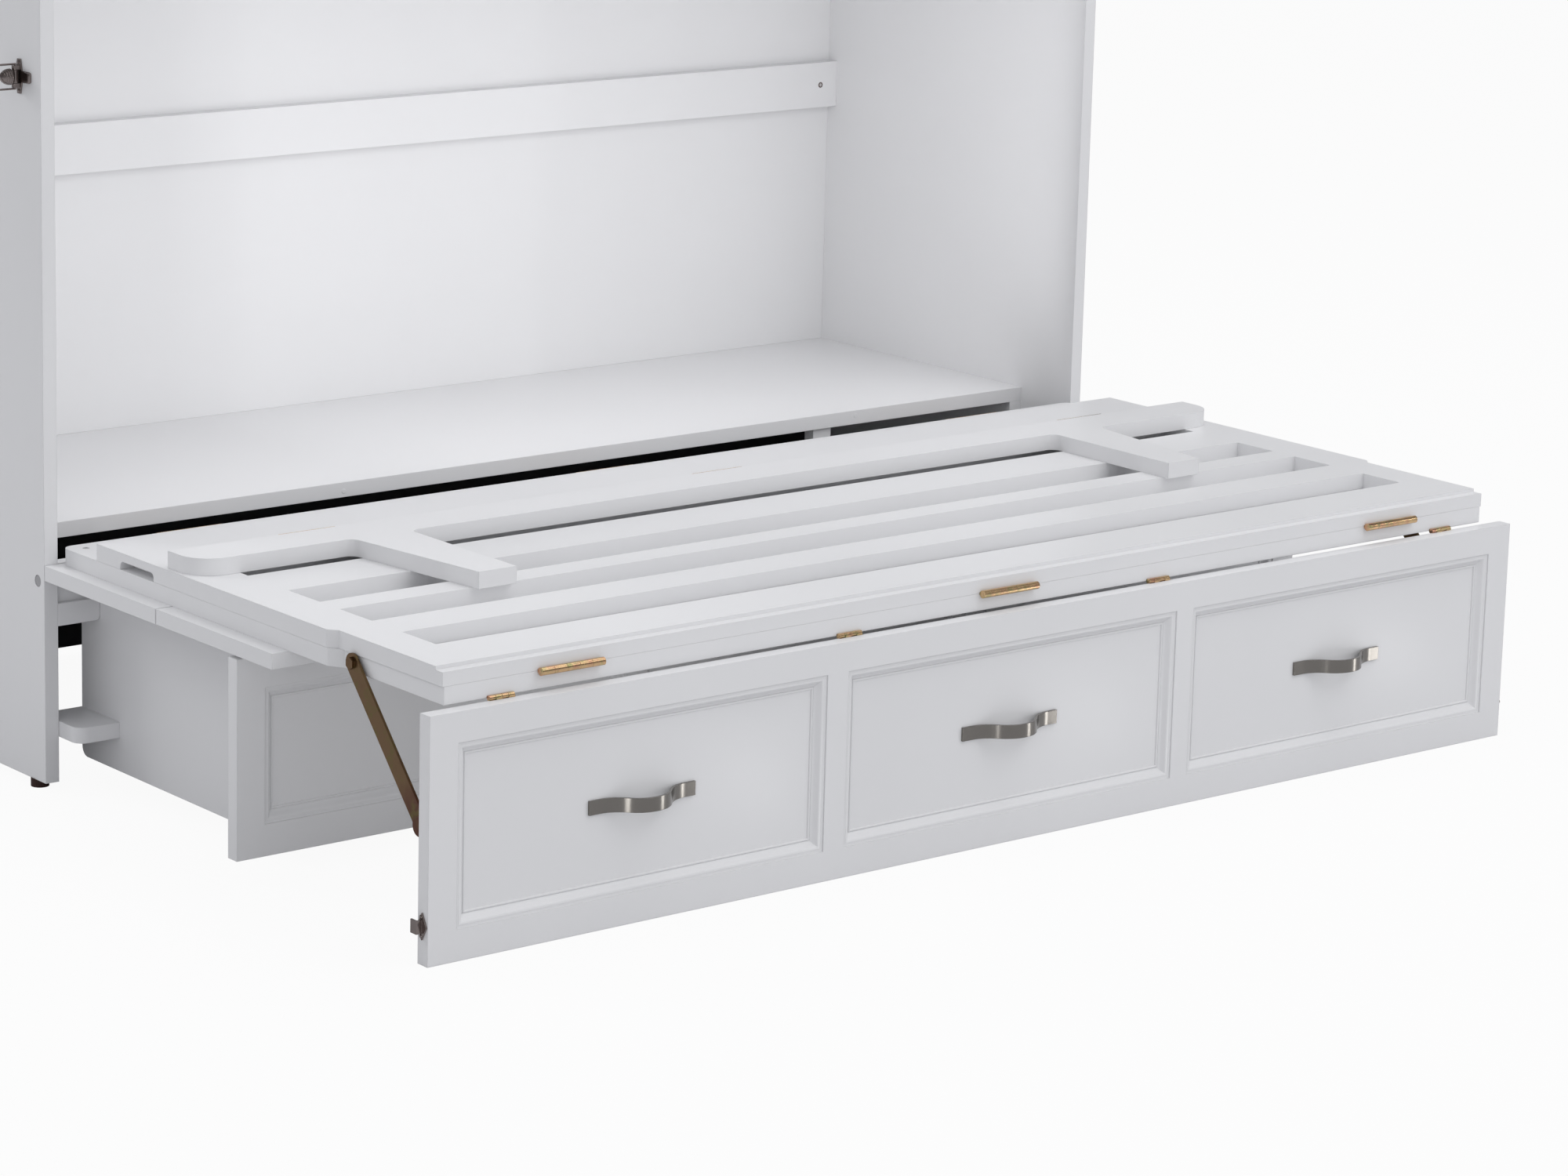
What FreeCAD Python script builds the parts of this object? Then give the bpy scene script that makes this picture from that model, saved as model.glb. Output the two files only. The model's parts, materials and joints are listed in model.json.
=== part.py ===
"""Cabinet bed: a white painted chest whose front folds out into a slatted bed.

Millimetres.  The origin lies on the floor, in the middle of the chest's width,
at the front edges of its side panels.  +X is to the right, -Y is towards the
room and +Z is up.  The bed is modelled half unfolded: the deck is down, the
foot section and the leg frame still lie folded on it, and the drawer is out.
"""
import FreeCAD, Part
import math
import os
import Sketcher

os.makedirs("parts", exist_ok=True)
doc = FreeCAD.newDocument("CabinetBed")

# ---------------------------------------------------------------- sizes
SIZES = [
    # chest
    ("overall_width", 1638),
    ("side_thickness", 18),
    ("side_depth", 551),
    ("side_crown", 1056),
    ("leveller_height", 10),
    ("leveller_radius", 11),
    ("leveller_setback", 29),
    ("lid_thickness", 25),
    ("lid_front_overhang", 30),
    ("lid_side_overhang", 10),
    ("cavity_depth", 533),
    ("back_thickness", 12),
    ("back_split_gap", 17),
    ("back_lower_height", 268),
    ("back_cleat_floor", 640),
    ("back_cleat_height", 65),
    ("back_cleat_thickness", 18),
    ("platform_level", 297),
    ("platform_thickness", 19),
    ("platform_front", 100),
    ("block_offset", 446),
    ("block_width", 30),
    ("block_height", 43),
    ("block_depth", 18),
    ("block_setback", 4),
    ("cleat_width", 20),
    ("cleat_height", 38),
    ("rail_front", 6),
    ("rail_thickness", 18),
    ("rail_floor", 226),
    ("rail_height", 47),
    ("rail_bolt_radius", 6.5),
    ("rail_bolt_depth", 5),
    ("rail_bolt_drop", 20),
    ("counterbore_clearance", 0.5),
    ("guide_block_height", 26),
    ("guide_block_depth", 24),
    ("guide_block_round", 5),
    # deck and folded foot section
    ("deck_underside", 274),
    ("board_thickness", 20),
    ("deck_side_gap", 4),
    ("deck_rear", 1),
    ("deck_front", 761),
    ("deck_step_start", 560),
    ("deck_step_end", 577),
    ("deck_step_depth", 11),
    ("deck_rear_round", 14),
    ("slot_inset", 66),
    ("deck_slot_width", 62),
    ("section_side_gap", 4),
    ("section_rear", 82),
    ("section_step_start", 558),
    ("section_step_end", 568),
    ("section_step_depth", 9),
    ("section_rabbet_width", 13),
    ("section_rabbet_depth", 4),
    ("rail_slat_width", 163),
    ("slat_two_start", 307),
    ("slat_two_width", 82),
    ("slat_three_start", 452),
    ("slat_three_width", 39),
    ("slat_four_start", 553),
    ("slat_four_width", 58),
    ("front_slat_start", 673),
    ("recess_start", 134),
    ("recess_length", 72),
    ("recess_height", 10),
    ("recess_reach", 20),
    ("recess_round", 6),
    # leg frame
    ("leg_rail_start", 227),
    ("leg_rail_width", 64),
    ("leg_rail_inset", 28),
    ("leg_corner_round", 38),
    ("leg_floor_gap", 0.5),
    ("leg_inner_side", 503),
    ("leg_root_side", 582),
    ("leg_tip_side", 555),
    ("leg_root_round", 12),
    # fronts: the hanging panel, the drawer front and the two boards on the deck
    ("front_thickness", 18),
    ("panel_front", 783),
    ("panel_height", 272),
    ("frame_bottom", 35),
    ("frame_height", 203),
    ("frame_margin_left", 37),
    ("frame_margin_right", 36),
    ("stile_left_outer", 9),
    ("stile_left_inner", 21),
    ("stile_right_inner", 23),
    ("stile_right_outer", 4),
    ("moulding_width", 14),
    ("moulding_step", 3),
    ("moulding_depth", 10),
    ("facade_lower_height", 244),
    ("facade_upper_height", 238),
    ("facade_gap", 2),
    ("facade_frame_margin", 33),
    # drawer
    ("drawer_front_face", 415),
    ("drawer_front_floor", 21),
    ("drawer_front_height", 231),
    ("drawer_frame_margin", 37),
    ("drawer_side_inset", 75),
    ("drawer_board", 18),
    ("drawer_side_floor", 24),
    ("drawer_side_height", 201),
    ("drawer_rear", 42),
    ("drawer_rear_round", 12),
    ("drawer_bottom_floor", 60),
    ("drawer_bottom_thickness", 12),
    ("outrigger_floor", 65),
    ("outrigger_thickness", 19),
    ("outrigger_length", 86),
    ("outrigger_round", 15),
    ("guide_gap", 0.3),
    ("wheel_radius", 25),
    ("wheel_width", 18),
    ("wheel_inset", 86),
    ("wheel_front", 335),
    ("wheel_rear", 20),
    ("axle_radius", 4),
    ("fork_plate", 3),
    ("fork_length", 60),
    ("fork_gap", 1.5),
    ("running_clearance", 0.06),
    # pulls
    ("pull_length", 144),
    ("pull_height", 16),
    ("pull_strap", 3),
    ("pull_foot", 14),
    ("pull_reach", 26),
    ("pull_shift_left", 14),
    ("pull_shift_middle", 1),
    ("pull_shift_right", 16),
    ("pull_level", 136),
    # hinges
    ("leaf_thickness", 1.5),
    ("knuckle_gap", 0.3),
    ("notch_clearance", 0.3),
    ("deck_axis_depth", 4),
    ("deck_axis_height", 279),
    ("deck_knuckle_radius", 4),
    ("deck_hinge_length", 90),
    ("deck_hinge_offset", 620),
    ("fold_axis_depth", 766),
    ("fold_knuckle_radius", 4.5),
    ("fold_hinge_length", 84),
    ("fold_hinge_offset", 623),
    ("fold_leaf_width", 25),
    ("panel_axis_depth", 763.2),
    ("panel_knuckle_radius", 3),
    ("panel_hinge_length", 33),
    ("panel_hinge_outer", 714),
    ("panel_hinge_inner", 236),
    ("panel_leaf_width", 22),
    ("leg_knuckle_radius", 2.5),
    ("leg_hinge_length", 78),
    ("leg_hinge_offset", 604),
    ("leg_leaf_width", 16),
    # stays and their brackets
    ("stay_bolt_depth", 600),
    ("stay_bolt_level", 285.4),
    ("stay_pin_depth", 732),
    ("stay_pin_level", 137),
    ("stay_inset", 26),
    ("stay_thickness", 3),
    ("stay_half_width", 11),
    ("stay_pin_radius", 4),
    ("stay_bolt_radius", 7),
    ("stay_bolt_head", 3.5),
    ("stay_washer", 1.7),
    ("bracket_thickness", 3),
    ("bracket_gap", 0.3),
    ("bracket_height", 46),
    # keepers and latches
    ("keeper_level", 43),
    ("keeper_height", 30),
    ("keeper_plate", 2),
    ("keeper_hook_height", 15),
    ("keeper_hook_reach", 9),
    ("latch_level", 843),
    ("latch_depth", 46),
    ("latch_plate", 2),
    ("latch_plate_height", 40),
    ("latch_plate_width", 26),
    ("latch_axis_reach", 6.5),
    ("latch_knuckle_radius", 4),
    ("latch_knuckle_length", 5),
    ("latch_lever_height", 15),
    ("latch_lever_reach", 20),
    ("latch_wire_radius", 1.2),
    ("latch_loop_reach", 26),
]

sheet = doc.addObject("Spreadsheet::Sheet", "Sizes")
sheet.Label = "Sizes"
for row, (alias, number) in enumerate(SIZES, start=1):
    sheet.set("A%d" % row, alias)
    sheet.set("B%d" % row, str(number))
    sheet.setAlias("B%d" % row, alias)
doc.recompute()


class Length:
    """A length that carries its number and its formula over the sheet."""

    def __init__(self, number, formula):
        self.number = float(number)
        self.formula = formula

    def __add__(self, other):
        other = as_length(other)
        return Length(self.number + other.number, "(%s + %s)" % (self.formula, other.formula))

    def __sub__(self, other):
        other = as_length(other)
        return Length(self.number - other.number, "(%s - %s)" % (self.formula, other.formula))

    def __mul__(self, other):
        other = as_length(other)
        return Length(self.number * other.number, "(%s * %s)" % (self.formula, other.formula))

    def __truediv__(self, other):
        other = as_length(other)
        return Length(self.number / other.number, "(%s / %s)" % (self.formula, other.formula))

    def __neg__(self):
        return Length(-self.number, "(0 - %s)" % self.formula)

    def __radd__(self, other):
        return as_length(other) + self

    def __rsub__(self, other):
        return as_length(other) - self

    def __rmul__(self, other):
        return as_length(other) * self


def as_length(number):
    """A plain number as a length; a length stays as it is."""
    if isinstance(number, Length):
        return number
    return Length(number, repr(float(number)))


class Sizes:
    """The sheet's cells by name."""

    def __init__(self, rows):
        for name, number in rows:
            setattr(self, name, Length(number, "Sizes." + name))


s = Sizes(SIZES)
LEFT = -1
RIGHT = 1
X_AXIS = FreeCAD.Vector(1, 0, 0)
Y_AXIS = FreeCAD.Vector(0, 1, 0)
Z_AXIS = FreeCAD.Vector(0, 0, 1)
pieces = []


# ---------------------------------------------------------------- helpers
def bind(target, prop, length):
    """Give a property its formula."""
    target.setExpression(prop, as_length(length).formula)


def place(target, x, y, z, axis=Z_AXIS, angle=0.0):
    """Turn a shape about an axis and bind its base point."""
    target.Placement = FreeCAD.Placement(FreeCAD.Vector(0, 0, 0), FreeCAD.Rotation(axis, angle))
    for prop, length in (("x", x), ("y", y), ("z", z)):
        bind(target, "Placement.Base." + prop, length)
    return target


def piece(target, label):
    """Name a finished sub-part, shift it so the bed's box is centred, and keep it for export."""
    target.Label = label
    start = "0"
    for path, formula in target.ExpressionEngine:
        if path.endswith("Placement.Base.y"):
            start = formula
    target.setExpression("Placement.Base.y", "(%s) + (%s)" % (start, MIDDLE.formula))
    pieces.append(target)
    return target


def box(name, x, y, z):
    """A board between three pairs of limits."""
    board = doc.addObject("Part::Box", name)
    for prop, limits in (("Length", x), ("Width", y), ("Height", z)):
        bind(board, prop, as_length(limits[1]) - as_length(limits[0]))
    return place(board, x[0], y[0], z[0])


def cylinder_x(name, x, y, z, radius):
    """A cylinder along X between two limits, about the line at y, z."""
    rod = doc.addObject("Part::Cylinder", name)
    bind(rod, "Radius", radius)
    bind(rod, "Height", as_length(x[1]) - as_length(x[0]))
    return place(rod, x[0], y, z, Y_AXIS, 90)


def cylinder_z(name, x, y, z, radius):
    """An upright cylinder between two levels."""
    rod = doc.addObject("Part::Cylinder", name)
    bind(rod, "Radius", radius)
    bind(rod, "Height", as_length(z[1]) - as_length(z[0]))
    return place(rod, x, y, z[0])


def fuse(name, shapes):
    """One object from several shapes."""
    if len(shapes) == 1:
        return shapes[0]
    joined = doc.addObject("Part::MultiFuse", name)
    joined.Shapes = shapes
    joined.Refine = True
    return joined


def cut(name, base, tools):
    """A shape less its tools."""
    rest = doc.addObject("Part::Cut", name)
    rest.Base = base
    rest.Tool = fuse(name + "Tool", tools)
    rest.Refine = True
    return rest


def mirrored(side, near, far):
    """A pair of limits on the left or right of the middle, low one first."""
    near = as_length(near)
    far = as_length(far)
    if side == RIGHT:
        return (near, far)
    return (-far, -near)


def sided(side, length):
    """A distance from the middle, signed for its side."""
    return as_length(length) if side == RIGHT else -as_length(length)


def side_name(side):
    return "left" if side == LEFT else "right"


def origin_plane(body, role):
    """One of a body's own origin planes."""
    for feature in body.Origin.OriginFeatures:
        if feature.Role == role:
            return feature
    return None


def new_body(name):
    return doc.addObject("PartDesign::Body", name)


def new_sketch(body, name, role, offset=0):
    """A sketch on an origin plane, moved along its normal."""
    sketch = body.newObject("Sketcher::SketchObject", name)
    sketch.AttachmentSupport = [(origin_plane(body, role), "")]
    sketch.MapMode = "FlatFace"
    bind(sketch, "AttachmentOffset.Base.z", offset)
    return sketch


def dimension(sketch, kind, geometry, point, length):
    """Hold one point of a sketch at a bound distance from the origin."""
    length = as_length(length)
    index = sketch.addConstraint(
        Sketcher.Constraint(kind, -1, 1, geometry, point, length.number))
    sketch.setExpression("Constraints[%d]" % index, length.formula)


def hold(sketch, geometry, point, spot):
    """Hold one point of a sketch by both its distances."""
    dimension(sketch, "DistanceX", geometry, point, spot[0])
    dimension(sketch, "DistanceY", geometry, point, spot[1])


def vector(spot):
    return FreeCAD.Vector(as_length(spot[0]).number, as_length(spot[1]).number, 0)


def polygon(sketch, spots):
    """A closed outline through the spots, every corner bound."""
    first = sketch.GeometryCount
    count = len(spots)
    for index in range(count):
        start = vector(spots[index])
        end = vector(spots[(index + 1) % count])
        sketch.addGeometry(Part.LineSegment(start, end), False)
    for index in range(count):
        after = first + (index + 1) % count
        sketch.addConstraint(Sketcher.Constraint("Coincident", first + index, 2, after, 1))
    for index, spot in enumerate(spots):
        hold(sketch, first + index, 1, spot)


def rectangle(sketch, x, y):
    polygon(sketch, [(x[0], y[0]), (x[1], y[0]), (x[1], y[1]), (x[0], y[1])])


def circle(sketch, spot, radius):
    """A full circle with its centre and radius bound."""
    radius = as_length(radius)
    edge = Part.Circle(vector(spot), FreeCAD.Vector(0, 0, 1), radius.number)
    index = sketch.addGeometry(edge, False)
    hold(sketch, index, 3, spot)
    rule = sketch.addConstraint(Sketcher.Constraint("Radius", index, radius.number))
    sketch.setExpression("Constraints[%d]" % rule, radius.formula)


def stadium(sketch, low, high, radius):
    """A strap outline with round ends about two spots."""
    radius = as_length(radius)
    a = vector(low)
    b = vector(high)
    along = math.atan2(b.y - a.y, b.x - a.x)
    side = FreeCAD.Vector(-math.sin(along), math.cos(along), 0) * radius.number
    up = FreeCAD.Vector(0, 0, 1)
    lines = (sketch.addGeometry(Part.LineSegment(a - side, b - side), False),
             sketch.addGeometry(Part.LineSegment(b + side, a + side), False))
    quarter = math.pi / 2
    ends = (sketch.addGeometry(Part.ArcOfCircle(
                Part.Circle(b, up, radius.number), along - quarter, along + quarter), False),
            sketch.addGeometry(Part.ArcOfCircle(
                Part.Circle(a, up, radius.number), along + quarter, along + 3 * quarter), False))
    for first, second in ((lines[0], ends[0]), (lines[1], ends[1])):
        sketch.addConstraint(Sketcher.Constraint("Tangent", first, 2, second, 1))
    for first, second in ((ends[0], lines[1]), (ends[1], lines[0])):
        sketch.addConstraint(Sketcher.Constraint("Tangent", first, 2, second, 1))
    hold(sketch, ends[0], 3, high)
    hold(sketch, ends[1], 3, low)
    sketch.addConstraint(Sketcher.Constraint("Equal", ends[0], ends[1]))
    rule = sketch.addConstraint(Sketcher.Constraint("Radius", ends[0], radius.number))
    sketch.setExpression("Constraints[%d]" % rule, radius.formula)


def pad(body, sketch, name, length):
    """Raise a sketch along its normal."""
    feature = body.newObject("PartDesign::Pad", name)
    feature.Profile = sketch
    bind(feature, "Length", length)
    sketch.Visibility = False
    return feature


def pocket(body, sketch, name, depth, through=False):
    """Sink a sketch against its normal."""
    feature = body.newObject("PartDesign::Pocket", name)
    feature.Profile = sketch
    if through:
        feature.Type = "ThroughAll"
    else:
        bind(feature, "Length", depth)
    sketch.Visibility = False
    return feature


def round_edges(body, base, name, radius, wanted):
    """Round the edges of a feature that meet a test."""
    doc.recompute()
    names = []
    for index, edge in enumerate(base.Shape.Edges, start=1):
        if wanted(edge):
            names.append("Edge%d" % index)
    feature = body.newObject("PartDesign::Fillet", name)
    feature.Base = (base, names)
    bind(feature, "Radius", radius)
    return feature


def upright_at(x, y, reach=1.0):
    """A test for the vertical edge at one spot of the plan."""
    spot = (as_length(x).number, as_length(y).number)

    def wanted(edge):
        low, high = edge.BoundBox.getPoint(0), edge.BoundBox.getPoint(6)
        level = abs(low.x - high.x) < 0.01 and abs(low.y - high.y) < 0.01
        return level and math.hypot(low.x - spot[0], low.y - spot[1]) < reach
    return wanted


def any_of(tests):
    return lambda edge: any(test(edge) for test in tests)


def slab(name, spots, z, rounds=()):
    """A flat board from its plan outline, with some corners rounded in plan."""
    body = new_body(name)
    sketch = new_sketch(body, name + "Plan", "XY_Plane", z[0])
    polygon(sketch, spots)
    tip = pad(body, sketch, name + "Board", as_length(z[1]) - as_length(z[0]))
    for number, (radius, corners) in enumerate(rounds):
        tests = any_of([upright_at(x, y) for x, y in corners])
        tip = round_edges(body, tip, "%sRound%d" % (name, number), radius, tests)
    return body


def slots(body, name, limits, crown):
    """Openings through a board, one for each pair of plan limits."""
    sketch = new_sketch(body, name, "XY_Plane", crown)
    for x, y in limits:
        rectangle(sketch, x, y)
    return pocket(body, sketch, name + "Cut", 0, through=True)


# ---------------------------------------------------------------- shared places
HALF = s.overall_width / 2
INSIDE = HALF - s.side_thickness
DECK_CROWN = s.deck_underside + s.board_thickness
SECTION_CROWN = DECK_CROWN + s.board_thickness
LEG_CROWN = SECTION_CROWN + s.board_thickness
PANEL_BACK = -s.panel_front + s.front_thickness
PULL_TIP = s.panel_front - s.moulding_depth + s.pull_reach + s.pull_strap
MIDDLE = (PULL_TIP - s.side_depth) / 2
DECK_EDGE = INSIDE - s.deck_side_gap
DECK_NARROW = DECK_EDGE - s.deck_step_depth
SECTION_EDGE = INSIDE - s.section_side_gap
SECTION_NARROW = SECTION_EDGE - s.section_step_depth
SLOT_EDGE = HALF - s.slot_inset - s.side_thickness


# ---------------------------------------------------------------- chest
def build_chest():
    """Sides, lid, backs, platform and the rails that stiffen them."""
    shell = (s.leveller_height, s.side_crown)
    bolt_level = s.rail_floor + s.rail_height - s.rail_bolt_drop
    bolt_depth = s.rail_front + s.rail_thickness / 2
    bolt_hole = s.rail_bolt_radius + s.counterbore_clearance
    bolts = []
    levellers = []
    for side in (LEFT, RIGHT):
        name = "Side" + side_name(side).title()
        board = box(name + "Board", mirrored(side, INSIDE, HALF), (0, s.side_depth), shell)
        seat = mirrored(side, HALF - s.rail_bolt_depth, HALF)
        bore = cylinder_x(name + "Bore", seat, bolt_depth, bolt_level, bolt_hole)
        piece(cut(name, board, [bore]), "side_" + side_name(side))
        head = mirrored(side, HALF - s.rail_bolt_depth, HALF - 0.5)
        bolts.append(cylinder_x(name + "Bolt", head, bolt_depth, bolt_level, s.rail_bolt_radius))
        for row, depth in enumerate((s.leveller_setback, s.side_depth - s.leveller_setback)):
            centre = sided(side, HALF - s.side_thickness / 2)
            levellers.append(cylinder_z(
                "%sLeveller%d" % (name, row), centre, depth,
                (0, s.leveller_height), s.leveller_radius))
        block_end = HALF - s.drawer_side_inset + s.guide_gap
        block_floor = s.rail_floor - s.guide_block_height - 1
        block = new_body("GuideBlock" + side_name(side).title())
        sketch = new_sketch(block, block.Name + "Face", "XZ_Plane", -s.guide_block_depth)
        rectangle(sketch, mirrored(side, block_end, INSIDE),
                  (block_floor, s.rail_floor))
        tip = pad(block, sketch, block.Name + "Pad", s.guide_block_depth)
        corner = (sided(side, block_end).number, block_floor.number)
        round_edges(block, tip, block.Name + "Round", s.guide_block_round,
                    lambda edge, c=corner: edge.BoundBox.YLength > 1
                    and math.hypot(edge.BoundBox.Center.x - c[0], edge.BoundBox.Center.z - c[1]) < 1)
        piece(block, "guide_block_" + side_name(side))
        under = s.platform_level - s.platform_thickness
        run = (s.platform_front, s.cavity_depth)
        piece(box("Cleat" + side_name(side).title(),
                  mirrored(side, INSIDE - s.cleat_width, INSIDE), run,
                  (under - s.cleat_height, under)), "platform_cleat_" + side_name(side))
    block_front = s.platform_front + s.block_setback
    piece(box("PlatformBlock", (s.block_offset - s.block_width / 2,
                                s.block_offset + s.block_width / 2),
              (block_front, block_front + s.block_depth),
              (under - s.block_height, under)), "platform_block")
    piece(fuse("RailBolts", bolts), "rail_bolts")
    piece(fuse("Levellers", levellers), "levellers")
    width = (-INSIDE, INSIDE)
    back = (s.cavity_depth, s.cavity_depth + s.back_thickness)
    low_top = s.leveller_height + 2 + s.back_lower_height
    piece(box("Lid", (-HALF - s.lid_side_overhang, HALF + s.lid_side_overhang),
              (-s.lid_front_overhang, s.side_depth),
              (s.side_crown, s.side_crown + s.lid_thickness)), "top_panel")
    piece(box("BackLower", width, back, (s.leveller_height + 2, low_top)), "back_lower")
    piece(box("BackUpper", width, back, (low_top + s.back_split_gap, s.side_crown)), "back_upper")
    piece(box("BackCleat", width, (s.cavity_depth - s.back_cleat_thickness, s.cavity_depth),
              (s.back_cleat_floor, s.back_cleat_floor + s.back_cleat_height)), "back_cleat")
    piece(box("Platform", width, (s.platform_front, s.cavity_depth),
              (s.platform_level - s.platform_thickness, s.platform_level)), "platform")
    piece(box("CrossRail", width, (s.rail_front, s.rail_front + s.rail_thickness),
              (s.rail_floor, s.rail_floor + s.rail_height)), "cross_rail")


# ---------------------------------------------------------------- fronts
def framed_board(name, height, base, margins):
    """An upright front with three sunk and moulded frames, its face at local y = 0.

    base: bottom level of the frames; margins: distance of the frames from the top.
    """
    body = new_body(name)
    plan = new_sketch(body, name + "Outline", "XZ_Plane", -s.front_thickness)
    rectangle(plan, (-HALF, HALF), (0, height))
    pad(body, plan, name + "Board", s.front_thickness)
    third = HALF / 3
    columns = ((-(HALF - s.frame_margin_left), -(third + s.stile_left_outer)),
               (-(third - s.stile_left_inner), third - s.stile_right_inner),
               (third + s.stile_right_outer, HALF - s.frame_margin_right))
    for number, (low, high) in enumerate(columns):
        label = "%sFrame%d" % (name, number)
        step = new_sketch(body, label + "Step", "XZ_Plane", 0)
        rectangle(step, (low, high), (base, height - margins))
        pocket(body, step, label + "StepCut", s.moulding_step / 2)
        cove = new_sketch(body, label + "Cove", "XZ_Plane", -s.moulding_step / 2)
        inset = s.moulding_step
        rectangle(cove, (low + inset, high - inset), (base + inset, height - margins - inset))
        slope = pocket(body, cove, label + "CoveCut", s.moulding_depth - s.moulding_step / 2)
        rise = (s.moulding_depth - s.moulding_step / 2).formula
        run = (s.moulding_width - s.moulding_step).formula
        slope.setExpression("TaperAngle", "0 deg - atan(%s / %s)" % (run, rise))
    return body


def pull(name, label, x, face, z):
    """A bowed flat strap with two feet, standing on a face that looks towards -Y."""
    body = new_body(name)
    half = s.pull_length / 2
    bend = half - s.pull_foot
    foot = -s.pull_strap / 2
    radius = (bend * bend + s.pull_reach * s.pull_reach) / (s.pull_reach * 4)
    path = new_sketch(body, name + "Path", "XY_Plane", 0)
    up = FreeCAD.Vector(0, 0, 1)
    turn = math.atan2(bend.number / 2, radius.number - s.pull_reach.number / 2)
    quarter = math.pi / 2
    bow = path.addGeometry(Part.ArcOfCircle(
        Part.Circle(vector((0, foot - s.pull_reach + radius)), up, radius.number),
        -quarter - turn, -quarter + turn), False)
    rule = path.addConstraint(Sketcher.Constraint("Radius", bow, radius.number))
    path.setExpression("Constraints[%d]" % rule, radius.formula)
    for sign, near, far in ((-1, 2, 1), (1, 1, 2)):
        root = (sign * bend, foot)
        centre = (sign * bend, foot - radius)
        line = path.addGeometry(Part.LineSegment(vector(root), vector((sign * half, foot))), False)
        hold(path, line, 1, root)
        hold(path, line, 2, (sign * half, foot))
        span = sorted((quarter, quarter + sign * turn))
        arc = path.addGeometry(Part.ArcOfCircle(
            Part.Circle(vector(centre), up, radius.number), span[0], span[1]), False)
        hold(path, arc, 3, centre)
        path.addConstraint(Sketcher.Constraint("Coincident", line, 1, arc, near))
        path.addConstraint(Sketcher.Constraint("Tangent", arc, far, bow, far))
    profile = new_sketch(body, name + "Section", "YZ_Plane", -half)
    rectangle(profile, (-s.pull_strap, 0), (-s.pull_height / 2, s.pull_height / 2))
    pipe = body.newObject("PartDesign::AdditivePipe", name + "Strap")
    pipe.Profile = profile
    pipe.Spine = path
    profile.Visibility = False
    path.Visibility = False
    place(body, x, face, z)
    return piece(body, label)


def place_board(body, y, z):
    """Lay an upright front on its back, face down, its foot at y."""
    return place(body, 0, y, z, X_AXIS, 90)


# ---------------------------------------------------------------- hinges
def knuckle_limits(centre, length, count, index, gap):
    """The ends of one knuckle of a barrel."""
    start = as_length(centre) - length / 2 + length * (float(index) / count)
    return (start + gap / 2, start + length * (1.0 / count) - gap / 2)


def hinge_leaf(name, centres, length, count, first, axis, radius, neck, leaf):
    """One half of a row of hinges.

    centres: places along X; first: 0 or 1, the first knuckle of this half;
    axis: (y, z) of the barrel; neck and leaf: (y limits, z limits) of the
    strip behind the own knuckles and of the plate beyond all knuckles.
    The half that starts at 0 carries the pin, the other is bored for it.
    """
    pin = radius * 0.4
    rows = []
    for number, centre in enumerate(centres):
        label = "%s%d" % (name, number)
        limits = (as_length(centre) - length / 2, as_length(centre) + length / 2)
        solids = [box(label + "Leaf", limits, leaf[0], leaf[1])]
        for index in range(first, count, 2):
            span = knuckle_limits(centre, length, count, index, s.knuckle_gap)
            knot = "%sKnuckle%d" % (label, index)
            solids.append(cylinder_x(knot, span, axis[0], axis[1], radius))
            solids.append(box(knot + "Neck", span, neck[0], neck[1]))
        if first == 0:
            solids.append(cylinder_x(label + "Pin", limits, axis[0], axis[1], pin))
            rows.append(fuse(label, solids))
        else:
            bore = cylinder_x(label + "Bore", limits, axis[0], axis[1], pin + s.running_clearance)
            rows.append(cut(label, fuse(label + "Solid", solids), [bore]))
    return fuse(name, rows)


def barrel_notches(name, centres, length, axis, radius):
    """Cutting rods that clear a row of barrels."""
    rods = []
    for number, centre in enumerate(centres):
        limits = (as_length(centre) - length / 2 - s.notch_clearance,
                  as_length(centre) + length / 2 + s.notch_clearance)
        rods.append(cylinder_x("%s%d" % (name, number), limits, axis[0], axis[1],
                               radius + s.notch_clearance))
    return rods


def leaf_seats(name, centres, length, y, z):
    """Cutting boxes that sink a row of leaves flush."""
    seats = []
    for number, centre in enumerate(centres):
        limits = (as_length(centre) - length / 2, as_length(centre) + length / 2)
        seats.append(box("%s%d" % (name, number), limits, y, z))
    return seats


FOLD_CENTRES = (-s.fold_hinge_offset, as_length(0), s.fold_hinge_offset)
FOLD_AXIS = (-s.fold_axis_depth, DECK_CROWN)
FOLD_CLEAR = -s.fold_axis_depth + s.fold_knuckle_radius + s.notch_clearance
FOLD_LEAF = (FOLD_CLEAR, -s.fold_axis_depth + s.fold_knuckle_radius + s.fold_leaf_width)
PANEL_CENTRES = (-s.panel_hinge_outer, -s.panel_hinge_inner,
                 s.panel_hinge_inner, s.panel_hinge_outer)
PANEL_AXIS = (-s.panel_axis_depth, s.deck_underside)
PANEL_CLEAR = s.panel_knuckle_radius + s.notch_clearance
LEG_CENTRES = (-s.leg_hinge_offset, as_length(0), s.leg_hinge_offset)
LEG_AXIS = (-s.leg_rail_start, SECTION_CROWN)
LEG_CLEAR = s.leg_knuckle_radius + s.notch_clearance
DECK_CENTRES = (-s.deck_hinge_offset, as_length(0), s.deck_hinge_offset)
DECK_AXIS = (s.deck_axis_depth, s.deck_axis_height)
RAIL_CROWN = s.rail_floor + s.rail_height


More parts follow.
